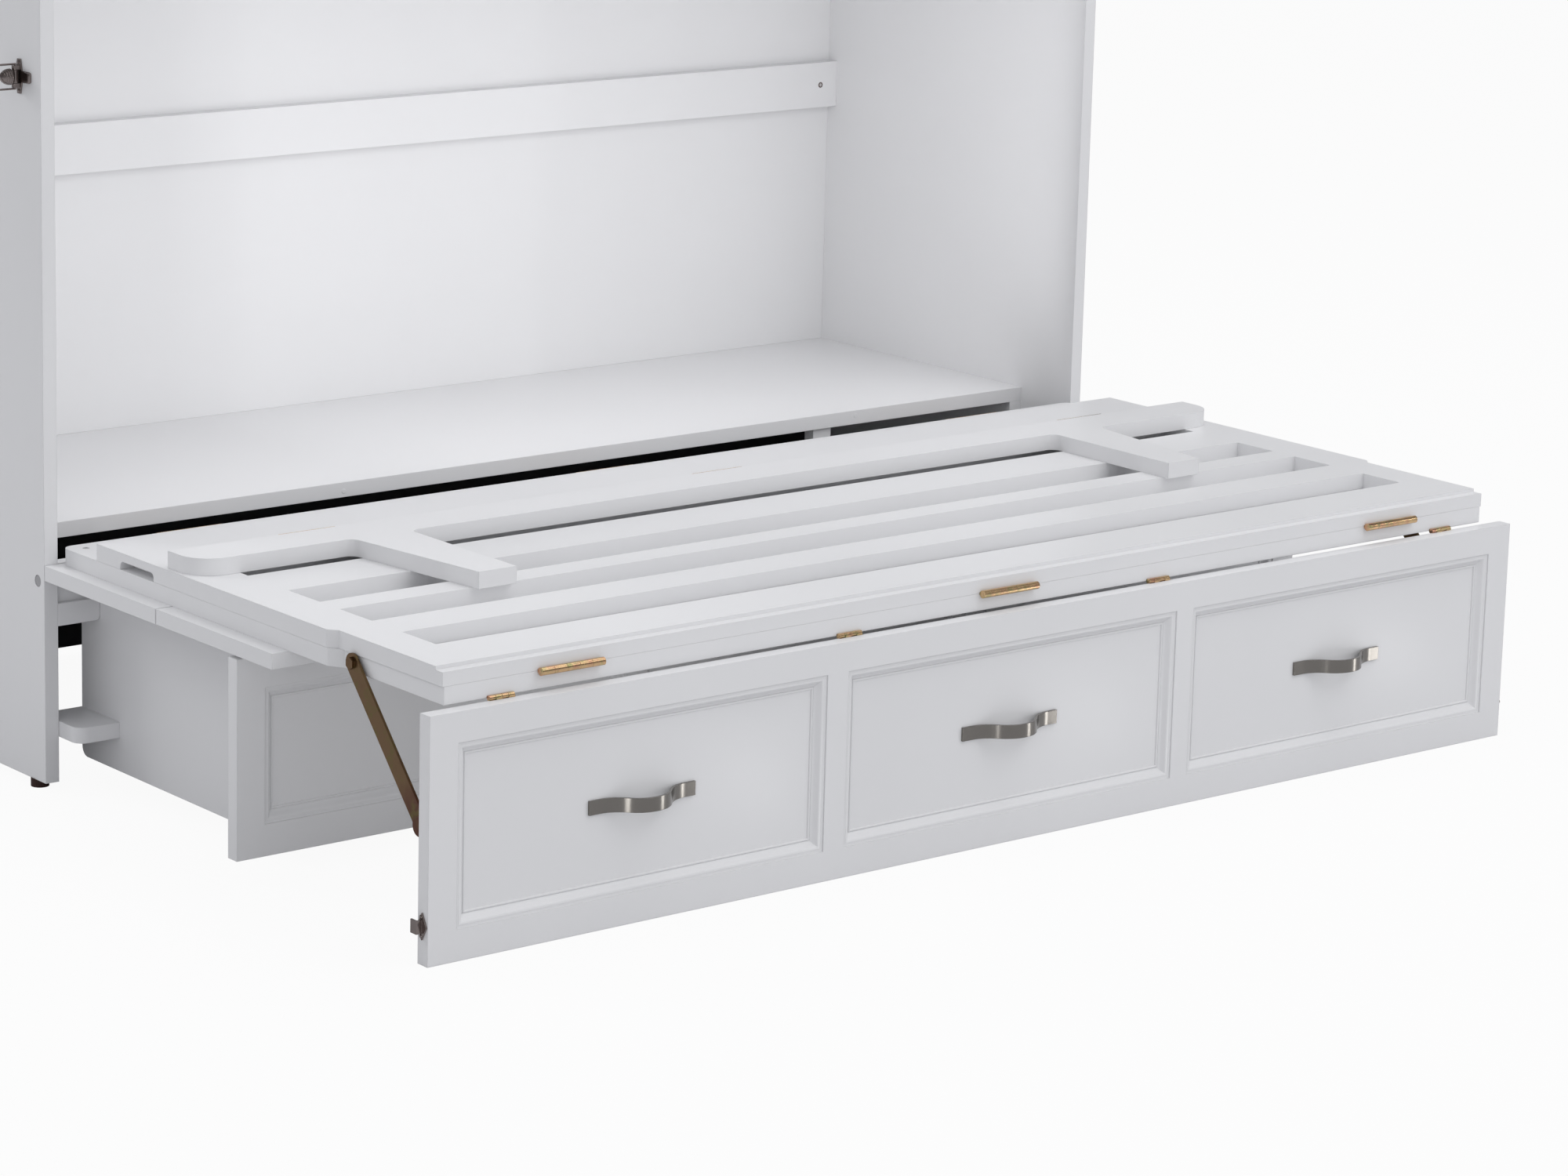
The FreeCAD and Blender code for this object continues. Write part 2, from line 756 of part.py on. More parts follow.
def build_hinges():
    """The four rows of butt hinges, each in two halves."""
    thick = s.leaf_thickness
    reach = s.deck_knuckle_radius + s.notch_clearance
    rail_leaf = (s.deck_axis_depth + reach, s.rail_front + s.rail_thickness)
    rail_plate = (RAIL_CROWN, s.deck_axis_height - s.deck_knuckle_radius + 1)
    piece(hinge_leaf("DeckHingeFixed", DECK_CENTRES, s.deck_hinge_length, 5, 0, DECK_AXIS,
                     s.deck_knuckle_radius,
                     ((s.deck_axis_depth, rail_leaf[0] + 1), rail_plate),
                     (rail_leaf, rail_plate)), "deck_hinge_fixed")
    leaf_floor = s.deck_axis_height + reach
    edge = (-s.deck_rear, -s.deck_rear + thick)
    piece(hinge_leaf("DeckHingeMoving", DECK_CENTRES, s.deck_hinge_length, 5, 1, DECK_AXIS,
                     s.deck_knuckle_radius,
                     (edge, (s.deck_axis_height, leaf_floor + 1)),
                     (edge, (leaf_floor, DECK_CROWN))), "deck_hinge_moving")
    for half, name, label, z in ((0, "FoldHingeDeck", "fold_hinge_deck",
                                  (DECK_CROWN - thick, DECK_CROWN)),
                                 (1, "FoldHingeSection", "fold_hinge_section",
                                  (DECK_CROWN, DECK_CROWN + thick))):
        piece(hinge_leaf(name, FOLD_CENTRES, s.fold_hinge_length, 5, half, FOLD_AXIS,
                         s.fold_knuckle_radius,
                         ((-s.fold_axis_depth, FOLD_LEAF[0] + 1), z), (FOLD_LEAF, z)), label)
    under = (s.deck_underside, s.deck_underside + thick)
    piece(hinge_leaf("PanelHingeDeck", PANEL_CENTRES, s.panel_hinge_length, 4, 0, PANEL_AXIS,
                     s.panel_knuckle_radius,
                     ((-s.panel_axis_depth, -s.panel_axis_depth + PANEL_CLEAR + 1), under),
                     ((-s.panel_axis_depth + PANEL_CLEAR,
                       -s.panel_axis_depth + PANEL_CLEAR + s.panel_leaf_width), under)),
          "panel_hinge_deck")
    behind = (PANEL_BACK - thick, PANEL_BACK)
    piece(hinge_leaf("PanelHingePanel", PANEL_CENTRES, s.panel_hinge_length, 4, 1, PANEL_AXIS,
                     s.panel_knuckle_radius,
                     (behind, (s.deck_underside - PANEL_CLEAR - 1, s.deck_underside)),
                     (behind, (s.deck_underside - PANEL_CLEAR - s.panel_leaf_width,
                               s.deck_underside - PANEL_CLEAR))), "panel_hinge_panel")
    sunk = (SECTION_CROWN - thick, SECTION_CROWN)
    piece(hinge_leaf("LegHingeSection", LEG_CENTRES, s.leg_hinge_length, 3, 0, LEG_AXIS,
                     s.leg_knuckle_radius,
                     ((-s.leg_rail_start, -s.leg_rail_start + LEG_CLEAR + 1), sunk),
                     ((-s.leg_rail_start + LEG_CLEAR,
                       -s.leg_rail_start + LEG_CLEAR + s.leg_leaf_width), sunk)),
          "leg_hinge_section")
    upright = (-s.leg_rail_start - thick, -s.leg_rail_start)
    piece(hinge_leaf("LegHingeLeg", LEG_CENTRES, s.leg_hinge_length, 3, 1, LEG_AXIS,
                     s.leg_knuckle_radius,
                     (upright, (SECTION_CROWN, SECTION_CROWN + LEG_CLEAR + 1)),
                     (upright, (SECTION_CROWN + LEG_CLEAR, LEG_CROWN))), "leg_hinge_leg")


# ---------------------------------------------------------------- deck
def stepped_outline(edge, narrow, rear, step_start, step_end, front):
    """A board that is narrower in front: its plan corners, left then right."""
    half = [(edge, -rear), (edge, -step_start), (narrow, -step_end), (narrow, -front)]
    return half + [(-x, y) for x, y in reversed(half)]


def build_deck():
    """The lower bed board, its slots, and the two fronts under it."""
    rear = (DECK_EDGE, -s.deck_rear)
    body = slab("Deck", stepped_outline(DECK_EDGE, DECK_NARROW, s.deck_rear, s.deck_step_start,
                                        s.deck_step_end, s.deck_front),
                (s.deck_underside, DECK_CROWN),
                [(s.deck_rear_round, [rear, (-rear[0], rear[1])])])
    width = (-SLOT_EDGE, SLOT_EDGE)
    limits = []
    for centre in (s.section_rear + s.rail_slat_width / 2,
                   s.slat_two_start + s.slat_two_width / 2,
                   s.slat_four_start + s.slat_four_width / 2):
        limits.append((width, (-centre - s.deck_slot_width / 2, -centre + s.deck_slot_width / 2)))
    slots(body, "DeckSlots", limits, DECK_CROWN)
    thick = s.leaf_thickness
    tools = leaf_seats("DeckFoldSeat", FOLD_CENTRES, s.fold_hinge_length,
                       (FOLD_LEAF[0] - 10, FOLD_LEAF[1]), (DECK_CROWN - thick, DECK_CROWN))
    tools += barrel_notches("DeckFoldNotch", FOLD_CENTRES, s.fold_hinge_length, FOLD_AXIS,
                            s.fold_knuckle_radius)
    tools += leaf_seats("DeckPanelSeat", PANEL_CENTRES, s.panel_hinge_length,
                        (-s.panel_axis_depth, -s.panel_axis_depth + PANEL_CLEAR
                         + s.panel_leaf_width), (s.deck_underside, s.deck_underside + thick))
    tools += barrel_notches("DeckPanelNotch", PANEL_CENTRES, s.panel_hinge_length, PANEL_AXIS,
                            s.panel_knuckle_radius)
    piece(cut("DeckBoard", body, tools), "deck")
    margin = s.facade_frame_margin
    lower = framed_board("FacadeLower", s.facade_lower_height, margin, margin)
    floor = s.deck_underside - s.front_thickness
    piece(place_board(lower, -s.deck_rear, floor), "facade_board_lower")
    upper = framed_board("FacadeUpper", s.facade_upper_height, margin, margin)
    start = s.deck_rear + s.facade_lower_height + s.facade_gap
    piece(place_board(upper, -start, floor), "facade_board_upper")


def build_section():
    """The folded foot section and the leg frame that lies on it."""
    rear = (SECTION_EDGE, -s.section_rear)
    body = slab("Section", stepped_outline(SECTION_EDGE, SECTION_NARROW, s.section_rear,
                                           s.section_step_start, s.section_step_end,
                                           s.deck_front),
                (DECK_CROWN, SECTION_CROWN))
    width = (-SLOT_EDGE, SLOT_EDGE)
    marks = (s.section_rear + s.rail_slat_width, s.slat_two_start,
             s.slat_two_start + s.slat_two_width, s.slat_three_start,
             s.slat_three_start + s.slat_three_width, s.slat_four_start,
             s.slat_four_start + s.slat_four_width, s.front_slat_start)
    limits = []
    for number in range(0, len(marks), 2):
        limits.append((width, (-marks[number + 1], -marks[number])))
    slots(body, "SectionSlots", limits, SECTION_CROWN)
    thick = s.leaf_thickness
    tools = [box("SectionRabbet", (-HALF, HALF),
                 (-s.deck_front - 1, -s.deck_front + s.section_rabbet_width),
                 (SECTION_CROWN - s.section_rabbet_depth, SECTION_CROWN + 1))]
    for side in (LEFT, RIGHT):
        tools.append(finger_recess(side))
    tools += leaf_seats("SectionFoldSeat", FOLD_CENTRES, s.fold_hinge_length,
                        (FOLD_LEAF[0] - 10, FOLD_LEAF[1]), (DECK_CROWN, DECK_CROWN + thick))
    tools += barrel_notches("SectionFoldNotch", FOLD_CENTRES, s.fold_hinge_length, FOLD_AXIS,
                            s.fold_knuckle_radius)
    tools += leaf_seats("SectionLegSeat", LEG_CENTRES, s.leg_hinge_length,
                        (-s.leg_rail_start, -s.leg_rail_start + LEG_CLEAR + s.leg_leaf_width),
                        (SECTION_CROWN - thick, SECTION_CROWN))
    tools += barrel_notches("SectionLegNotch", LEG_CENTRES, s.leg_hinge_length, LEG_AXIS,
                            s.leg_knuckle_radius)
    piece(cut("SectionBoard", body, tools), "section")
    edge = HALF - s.leg_rail_inset
    front = -s.leg_rail_start - s.leg_rail_width
    tip = -s.leg_rail_start - s.deck_underside + s.leg_floor_gap
    half = [(edge, -s.leg_rail_start), (edge, front), (s.leg_root_side, front),
            (s.leg_tip_side, tip), (s.leg_inner_side, tip),
            (s.leg_inner_side, front)]
    outline = half + [(-x, y) for x, y in reversed(half)]
    corners = [(edge, front), (-edge, front)]
    roots = [(s.leg_root_side, front), (-s.leg_root_side, front),
             (s.leg_inner_side, front), (-s.leg_inner_side, front)]
    legs = slab("Legs", outline, (SECTION_CROWN, LEG_CROWN),
                [(s.leg_corner_round, corners), (s.leg_root_round, roots)])
    tools = leaf_seats("LegSeat", LEG_CENTRES, s.leg_hinge_length,
                       (-s.leg_rail_start - thick, -s.leg_rail_start), (SECTION_CROWN, LEG_CROWN))
    tools += barrel_notches("LegNotch", LEG_CENTRES, s.leg_hinge_length, LEG_AXIS,
                            s.leg_knuckle_radius)
    piece(cut("LegFrame", legs, tools), "leg_frame")


def finger_recess(side):
    """The space of a finger recess under the section's end, with two round upper corners."""
    title = "Grip" + side_name(side).title()
    across = mirrored(side, SECTION_EDGE - s.recess_reach, HALF)
    rear = -s.recess_start
    front = rear - s.recess_length
    turn = s.recess_round
    crown = DECK_CROWN + s.recess_height
    floor = DECK_CROWN - 1
    solids = [box(title + "Low", across, (front, rear), (floor, crown - turn)),
              box(title + "High", across, (front + turn, rear - turn), (floor, crown))]
    for number, depth in enumerate((front + turn, rear - turn)):
        solids.append(cylinder_x("%sRound%d" % (title, number), across, depth, crown - turn, turn))
    return fuse(title, solids)


# ---------------------------------------------------------------- hanging panel
def build_panel():
    """The chest's upper front, which hangs from the deck and stands on the floor."""
    body = framed_board("PanelBoard", s.panel_height, s.frame_bottom,
                        s.panel_height - s.frame_bottom - s.frame_height)
    place(body, 0, -s.panel_front, 0)
    thick = s.leaf_thickness
    tools = leaf_seats("PanelSeat", PANEL_CENTRES, s.panel_hinge_length,
                       (PANEL_BACK - thick, PANEL_BACK),
                       (s.deck_underside - PANEL_CLEAR - s.panel_leaf_width, s.deck_underside))
    tools += barrel_notches("PanelNotch", PANEL_CENTRES, s.panel_hinge_length, PANEL_AXIS,
                            s.panel_knuckle_radius)
    piece(cut("FrontPanel", body, tools), "front_panel")
    places = (("left", -(HALF * 2 / 3 - s.pull_shift_left)), ("middle", -s.pull_shift_middle),
              ("right", HALF * 2 / 3 - s.pull_shift_right))
    for name, x in places:
        pull("Pull" + name.title(), "pull_" + name, x, -s.panel_front + s.moulding_depth,
             s.pull_level)
    for side in (LEFT, RIGHT):
        build_stay(side)
        build_keeper(side)


def build_stay(side):
    """A flat strap on a bracket behind the panel's end, its bolt beside the deck."""
    name = side_name(side)
    title = name.title()
    strap = mirrored(side, HALF - s.stay_inset - s.stay_thickness, HALF - s.stay_inset)
    low = (-s.stay_pin_depth, s.stay_pin_level)
    high = (-s.stay_bolt_depth, s.stay_bolt_level)
    body = new_body("StayStrap" + title)
    sketch = new_sketch(body, "StayOutline" + title, "YZ_Plane", strap[0])
    stadium(sketch, low, high, s.stay_half_width)
    circle(sketch, low, s.stay_pin_radius + s.running_clearance)
    pad(body, sketch, "StayPad" + title, s.stay_thickness)
    outer = HALF - s.stay_inset
    inner = outer - s.stay_thickness
    head = doc.addObject("Part::Prism", "StayHead" + title)
    head.Polygon = 6
    bind(head, "Circumradius", s.stay_bolt_radius)
    bind(head, "Height", s.stay_bolt_head)
    start = outer if side == RIGHT else -outer - s.stay_bolt_head
    place(head, start, high[0], high[1], Y_AXIS, 90)
    washer = cylinder_x("StayWasher" + title, mirrored(side, inner - s.stay_washer, inner),
                        high[0], high[1], s.stay_bolt_radius + 1)
    piece(fuse("Stay" + title, [body, head, washer]), "stay_" + name)
    ear_inner = outer + s.bracket_gap
    ear = mirrored(side, ear_inner, ear_inner + s.bracket_thickness)
    foot_floor = s.stay_pin_level - s.bracket_height / 2
    plate = (PANEL_BACK, PANEL_BACK + s.bracket_thickness)
    solids = [box("BracketFoot" + title,
                  mirrored(side, DECK_NARROW + s.bracket_gap,
                           ear_inner + s.bracket_thickness), plate,
                  (foot_floor, foot_floor + s.bracket_height)),
              box("BracketEar" + title, ear, (PANEL_BACK, low[0]),
                  (s.stay_pin_level - s.stay_half_width, s.stay_pin_level + s.stay_half_width)),
              cylinder_x("BracketEye" + title, ear, low[0], low[1], s.stay_half_width),
              cylinder_x("BracketPin" + title,
                         mirrored(side, inner - s.bracket_gap, ear_inner + 1),
                         low[0], low[1], s.stay_pin_radius),
              cylinder_x("BracketHead" + title,
                         mirrored(side, inner - s.bracket_gap - 1.4, inner - s.bracket_gap),
                         low[0], low[1], s.stay_pin_radius + 2)]
    piece(fuse("StayBracket" + title, solids), "stay_bracket_" + name)


def build_keeper(side):
    """A diamond plate with a bent hook on the panel's end."""
    name = side_name(side)
    title = name.title()
    centre = (PANEL_BACK - s.panel_front) / 2
    body = new_body("KeeperPlate" + title)
    outer = HALF + s.keeper_plate
    start = HALF if side == RIGHT else -outer
    sketch = new_sketch(body, "KeeperOutline" + title, "YZ_Plane", start)
    half = s.keeper_height / 2
    wide = s.front_thickness / 2 - 0.5
    polygon(sketch, [(centre, s.keeper_level - half), (centre + wide, s.keeper_level),
                     (centre, s.keeper_level + half), (centre - wide, s.keeper_level)])
    pad(body, sketch, "KeeperPad" + title, s.keeper_plate)
    lift = s.keeper_hook_height / 2
    levels = (s.keeper_level - lift, s.keeper_level + lift)
    web = box("KeeperWeb" + title, mirrored(side, HALF, HALF + s.keeper_hook_reach),
              (centre - 1, centre + 1), levels)
    lip = box("KeeperLip" + title,
              mirrored(side, HALF + s.keeper_hook_reach - s.keeper_plate,
                       HALF + s.keeper_hook_reach),
              (centre - 1, centre + 10), levels)
    piece(fuse("Keeper" + title, [body, web, lip]), "keeper_" + name)


# ---------------------------------------------------------------- latches
def build_latch(side):
    """A draw latch on the chest's side: plate with knuckles, lever and wire loop."""
    name = side_name(side)
    title = name.title()
    face = HALF
    axis_x = HALF + s.latch_axis_reach
    spot = sided(side, axis_x)
    level = s.latch_level
    lever_half = s.latch_lever_height / 2
    gap = s.knuckle_gap
    pin = s.latch_wire_radius
    outer_end = lever_half + gap + s.latch_knuckle_length
    body = new_body("LatchPlate" + title)
    start = face if side == RIGHT else -face - s.latch_plate
    sketch = new_sketch(body, "LatchOutline" + title, "YZ_Plane", start)
    half = s.latch_plate_height / 2
    wide = s.latch_plate_width / 2
    waist = half / 3
    tip = wide / 4
    polygon(sketch, [(s.latch_depth - wide * 1.7, level - waist),
                     (s.latch_depth - wide / 2, level - waist),
                     (s.latch_depth - tip, level - half), (s.latch_depth + tip, level - half),
                     (s.latch_depth + wide / 2, level - waist),
                     (s.latch_depth + wide, level - tip), (s.latch_depth + wide, level + tip),
                     (s.latch_depth + wide / 2, level + waist),
                     (s.latch_depth + tip, level + half), (s.latch_depth - tip, level + half),
                     (s.latch_depth - wide / 2, level + waist),
                     (s.latch_depth - wide * 1.7, level + waist)])
    pad(body, sketch, "LatchPad" + title, s.latch_plate)
    solids = [body]
    bores = []
    for sign in (-1, 1):
        inner = sign * (lever_half + gap) + level
        outer = sign * outer_end + level
        span = (inner, outer) if sign > 0 else (outer, inner)
        tag = "%s%s" % (title, "Low" if sign < 0 else "High")
        solids.append(cylinder_z("LatchKnuckle" + tag, spot, s.latch_depth, span,
                                 s.latch_knuckle_radius))
        solids.append(box("LatchLug" + tag, mirrored(side, face, axis_x),
                          (s.latch_depth - s.latch_knuckle_radius,
                           s.latch_depth + s.latch_knuckle_radius), span))
        bores.append(cylinder_z("LatchBore" + tag, spot, s.latch_depth,
                                (span[0] - 1, span[1] + 1), pin + s.running_clearance))
    base = cut("LatchBase" + title, fuse("LatchSolid" + title, solids), bores)
    piece(base, "latch_base_" + name)
    barrel = cylinder_z("LeverBarrel" + title, spot, s.latch_depth,
                        (level - lever_half, level + lever_half), s.latch_knuckle_radius)
    stub = lever_half + gap + s.latch_knuckle_length / 2 - 0.2
    rod = cylinder_z("LeverPin" + title, spot, s.latch_depth, (level - stub, level + stub), pin)
    blade = new_body("LeverBlade" + title)
    thick = s.latch_knuckle_radius
    face_sketch = new_sketch(blade, "LeverOutline" + title, "XZ_Plane",
                             -s.latch_depth - thick / 2)
    tip_x = axis_x + s.latch_lever_reach - lever_half
    stadium(face_sketch, (sided(side, axis_x + 2), level) if side == RIGHT
            else (sided(side, tip_x), level),
            (sided(side, tip_x), level) if side == RIGHT
            else (sided(side, axis_x + 2), level), lever_half - 0.4)
    pad(blade, face_sketch, "LeverPad" + title, thick)
    clear = box("LeverClear" + title, mirrored(side, HALF, axis_x),
                (s.latch_depth - 20, s.latch_depth + 20), (level - 40, level + 40))
    blade_cut = cut("LeverShape" + title, blade, [clear])
    piece(fuse("LatchLever" + title, [barrel, rod, blade_cut]), "latch_lever_" + name)
    build_loop(side, title, name, spot, axis_x, outer_end)


def build_loop(side, title, name, spot, axis_x, outer_end):
    """The wire loop whose bent ends turn in the outer knuckles."""
    wire = s.latch_wire_radius
    arm = outer_end + wire + s.knuckle_gap
    far = sided(side, axis_x + s.latch_loop_reach)
    level = s.latch_level
    solids = []
    for sign in (-1, 1):
        tag = "%s%s" % (title, "Low" if sign < 0 else "High")
        inner = sign * (outer_end - s.latch_knuckle_length / 2 + 0.2) + level
        outer = sign * arm + level
        span = (inner, outer) if sign > 0 else (outer, inner)
        solids.append(cylinder_z("LoopEnd" + tag, spot, s.latch_depth, span, wire))
        solids.append(cylinder_x("LoopArm" + tag,
                                 mirrored(side, axis_x, axis_x + s.latch_loop_reach),
                                 s.latch_depth, outer, wire))
        for corner, x in (("Near", spot), ("Far", far)):
            ball = doc.addObject("Part::Sphere", "Loop%s%s" % (corner, tag))
            bind(ball, "Radius", wire)
            place(ball, x, s.latch_depth, outer)
            solids.append(ball)
    solids.append(cylinder_z("LoopBow" + title, far, s.latch_depth,
                             (level - arm, level + arm), wire))
    piece(fuse("LatchLoop" + title, solids), "latch_loop_" + name)


# ---------------------------------------------------------------- drawer
def build_drawer():
    """The wide drawer, its outriggers and casters."""
    front = framed_board("DrawerFront", s.drawer_front_height, s.drawer_frame_margin,
                         s.drawer_frame_margin)
    place(front, 0, -s.drawer_front_face, s.drawer_front_floor)
    piece(front, "drawer_front")
    behind = -s.drawer_front_face + s.front_thickness
    outer = HALF - s.drawer_side_inset
    inner = outer - s.drawer_board
    crown = s.drawer_side_floor + s.drawer_side_height
    for side in (LEFT, RIGHT):
        name = side_name(side)
        title = name.title()
        board = new_body("DrawerSide" + title)
        limits = mirrored(side, inner, outer)
        sketch = new_sketch(board, board.Name + "Face", "YZ_Plane", limits[0])
        rectangle(sketch, (behind, s.drawer_rear), (s.drawer_side_floor, crown))
        tip = pad(board, sketch, board.Name + "Pad", s.drawer_board)
        corner = (s.drawer_rear.number, s.drawer_side_floor.number)
        round_edges(board, tip, board.Name + "Round", s.drawer_rear_round,
                    lambda edge, c=corner: edge.BoundBox.XLength > 1
                    and math.hypot(edge.BoundBox.Center.y - c[0], edge.BoundBox.Center.z - c[1]) < 1)
        piece(board, "drawer_side_" + name)
        near = outer
        far = INSIDE - s.guide_gap
        rear = s.drawer_rear
        lead = s.drawer_rear - s.outrigger_length
        spots = [(sided(side, near), lead), (sided(side, far), lead),
                 (sided(side, far), rear), (sided(side, near), rear)]
        arm = slab("Outrigger" + title, spots,
                   (s.outrigger_floor, s.outrigger_floor + s.outrigger_thickness),
                   [(s.outrigger_round, [(sided(side, far), lead)])])
        piece(arm, "outrigger_" + name)
    bottom_top = s.drawer_bottom_floor + s.drawer_bottom_thickness
    rear_inner = s.drawer_rear - s.drawer_board
    piece(box("DrawerBack", (-inner, inner), (rear_inner, s.drawer_rear),
              (s.drawer_bottom_floor, crown)), "drawer_back")
    piece(box("DrawerBottom", (-inner, inner), (behind, rear_inner),
              (s.drawer_bottom_floor, bottom_top)), "drawer_bottom")
    build_casters()


def build_casters():
    """Four fixed casters under the drawer's bottom."""
    forks = []
    for side in (LEFT, RIGHT):
        for row, depth in (("front", -s.wheel_front), ("rear", -s.wheel_rear)):
            tag = side_name(side).title() + row.title()
            half = s.wheel_width / 2
            middle = sided(side, HALF - s.drawer_side_inset - s.drawer_board - s.wheel_inset)
            cheek = half + s.fork_gap
            wheel = cylinder_x("WheelDisc" + tag, (middle - half, middle + half), depth,
                               s.wheel_radius, s.wheel_radius)
            bore = cylinder_x("WheelBore" + tag, (middle - half - 1, middle + half + 1), depth,
                              s.wheel_radius, s.axle_radius + s.running_clearance)
            piece(cut("Wheel" + tag, wheel, [bore]), "wheel_%s_%s" % (side_name(side), row))
            outer = cheek + s.fork_plate
            plate_floor = s.drawer_bottom_floor - s.fork_plate
            solids = [box("ForkPlate" + tag, (middle - outer, middle + outer),
                          (depth - s.fork_length / 2, depth + s.fork_length / 2),
                          (plate_floor, s.drawer_bottom_floor)),
                      cylinder_x("ForkAxle" + tag, (middle - outer, middle + outer), depth,
                                 s.wheel_radius, s.axle_radius)]
            for sign in (-1, 1):
                ends = sorted((sign * cheek, sign * outer), key=lambda item: item.number)
                solids.append(box("ForkCheek%s%s" % (tag, "A" if sign < 0 else "B"),
                                  (middle + ends[0], middle + ends[1]),
                                  (depth - s.fork_length / 4, depth + s.fork_length / 4),
                                  (s.wheel_radius - s.axle_radius * 2, plate_floor)))
            forks.append(fuse("Fork" + tag, solids))
    piece(fuse("CasterForks", forks), "caster_forks")


# ---------------------------------------------------------------- build and write
build_chest()
build_hinges()
build_deck()
build_section()
build_panel()
for chosen in (LEFT, RIGHT):
    build_latch(chosen)
build_drawer()
doc.recompute()

for item in doc.Objects:
    if "Invalid" in item.State or "Error" in item.State:
        raise RuntimeError("%s failed: %s" % (item.Name, item.State))
labels = set()
for item in pieces:
    if item.Shape.isNull() or not item.Shape.isValid():
        raise RuntimeError("%s has no valid shape" % item.Label)
    if item.Label in labels:
        raise RuntimeError("%s is named twice" % item.Label)
    labels.add(item.Label)
if len(pieces) > 60:
    raise RuntimeError("more than 60 sub-parts: %d" % len(pieces))

for item in pieces:
    item.Shape.exportStep(os.path.join("parts", item.Label + ".step"))
    box_of = item.Shape.BoundBox
    print("%-22s %2d solids  %7.1f %7.1f %7.1f  to %7.1f %7.1f %7.1f" % (
        item.Label, len(item.Shape.Solids), box_of.XMin, box_of.YMin, box_of.ZMin,
        box_of.XMax, box_of.YMax, box_of.ZMax))
print("%d sub-parts written" % len(pieces))
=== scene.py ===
"""Dresses the cabinet bed: painted boards, zinc hinges and stays, nickel pulls and latches.

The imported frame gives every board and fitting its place.  This file gives each of
them a finish, adds the small fittings that only the eye needs (screws, plugs, rivets
and moulding beads), and sets a plain studio around them.  Lengths are in metres.
"""
import json
import logging
import math
from dataclasses import dataclass, field
from enum import Enum

import bmesh
import bpy
import numpy as np
from mathutils import Matrix, Vector


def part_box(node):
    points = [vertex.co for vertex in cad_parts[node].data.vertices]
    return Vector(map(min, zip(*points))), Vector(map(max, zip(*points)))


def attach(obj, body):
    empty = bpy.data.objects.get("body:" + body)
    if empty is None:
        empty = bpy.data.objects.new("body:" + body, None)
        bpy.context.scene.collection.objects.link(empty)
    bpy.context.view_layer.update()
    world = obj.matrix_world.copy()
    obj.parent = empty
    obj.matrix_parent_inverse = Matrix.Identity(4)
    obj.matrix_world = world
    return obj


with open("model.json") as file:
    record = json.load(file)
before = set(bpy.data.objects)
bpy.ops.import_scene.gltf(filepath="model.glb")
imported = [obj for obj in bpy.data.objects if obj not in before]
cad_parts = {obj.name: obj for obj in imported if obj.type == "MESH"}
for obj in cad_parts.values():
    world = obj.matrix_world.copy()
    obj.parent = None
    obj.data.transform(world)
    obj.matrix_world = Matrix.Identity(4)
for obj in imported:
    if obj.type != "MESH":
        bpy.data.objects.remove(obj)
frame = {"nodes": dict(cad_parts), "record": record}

logging.basicConfig(level=logging.INFO, format="%(levelname)s %(message)s")
LOG = logging.getLogger("cabinet_bed")

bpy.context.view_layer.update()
Triple = tuple[float, float, float]


class Axis(Enum):
    """The direction that a grain or a brushing runs in."""

    X = 0
    Y = 1
    Z = 2


class Facing(Enum):
    """The way that a small fitting looks, as a unit vector."""

    UP = (0.0, 0.0, 1.0)
    ROOM = (0.0, -1.0, 0.0)
    LEFT = (-1.0, 0.0, 0.0)
    RIGHT = (1.0, 0.0, 0.0)


class Lies(Enum):
    """How a framed board lies in the bed."""

    UPRIGHT = "upright"
    FLAT = "flat"


class Shows(Enum):
    """The surfaces that a lamp shows on."""

    ALL = "all"
    MATT = "matt"
    POLISH = "polish"


class Side(Enum):
    """Left or right end of the chest, as a sign along X."""

    LEFT = -1
    RIGHT = 1

    @property
    def word(self) -> str:
        """The side's name as it stands in node names."""
        return self.name.lower()


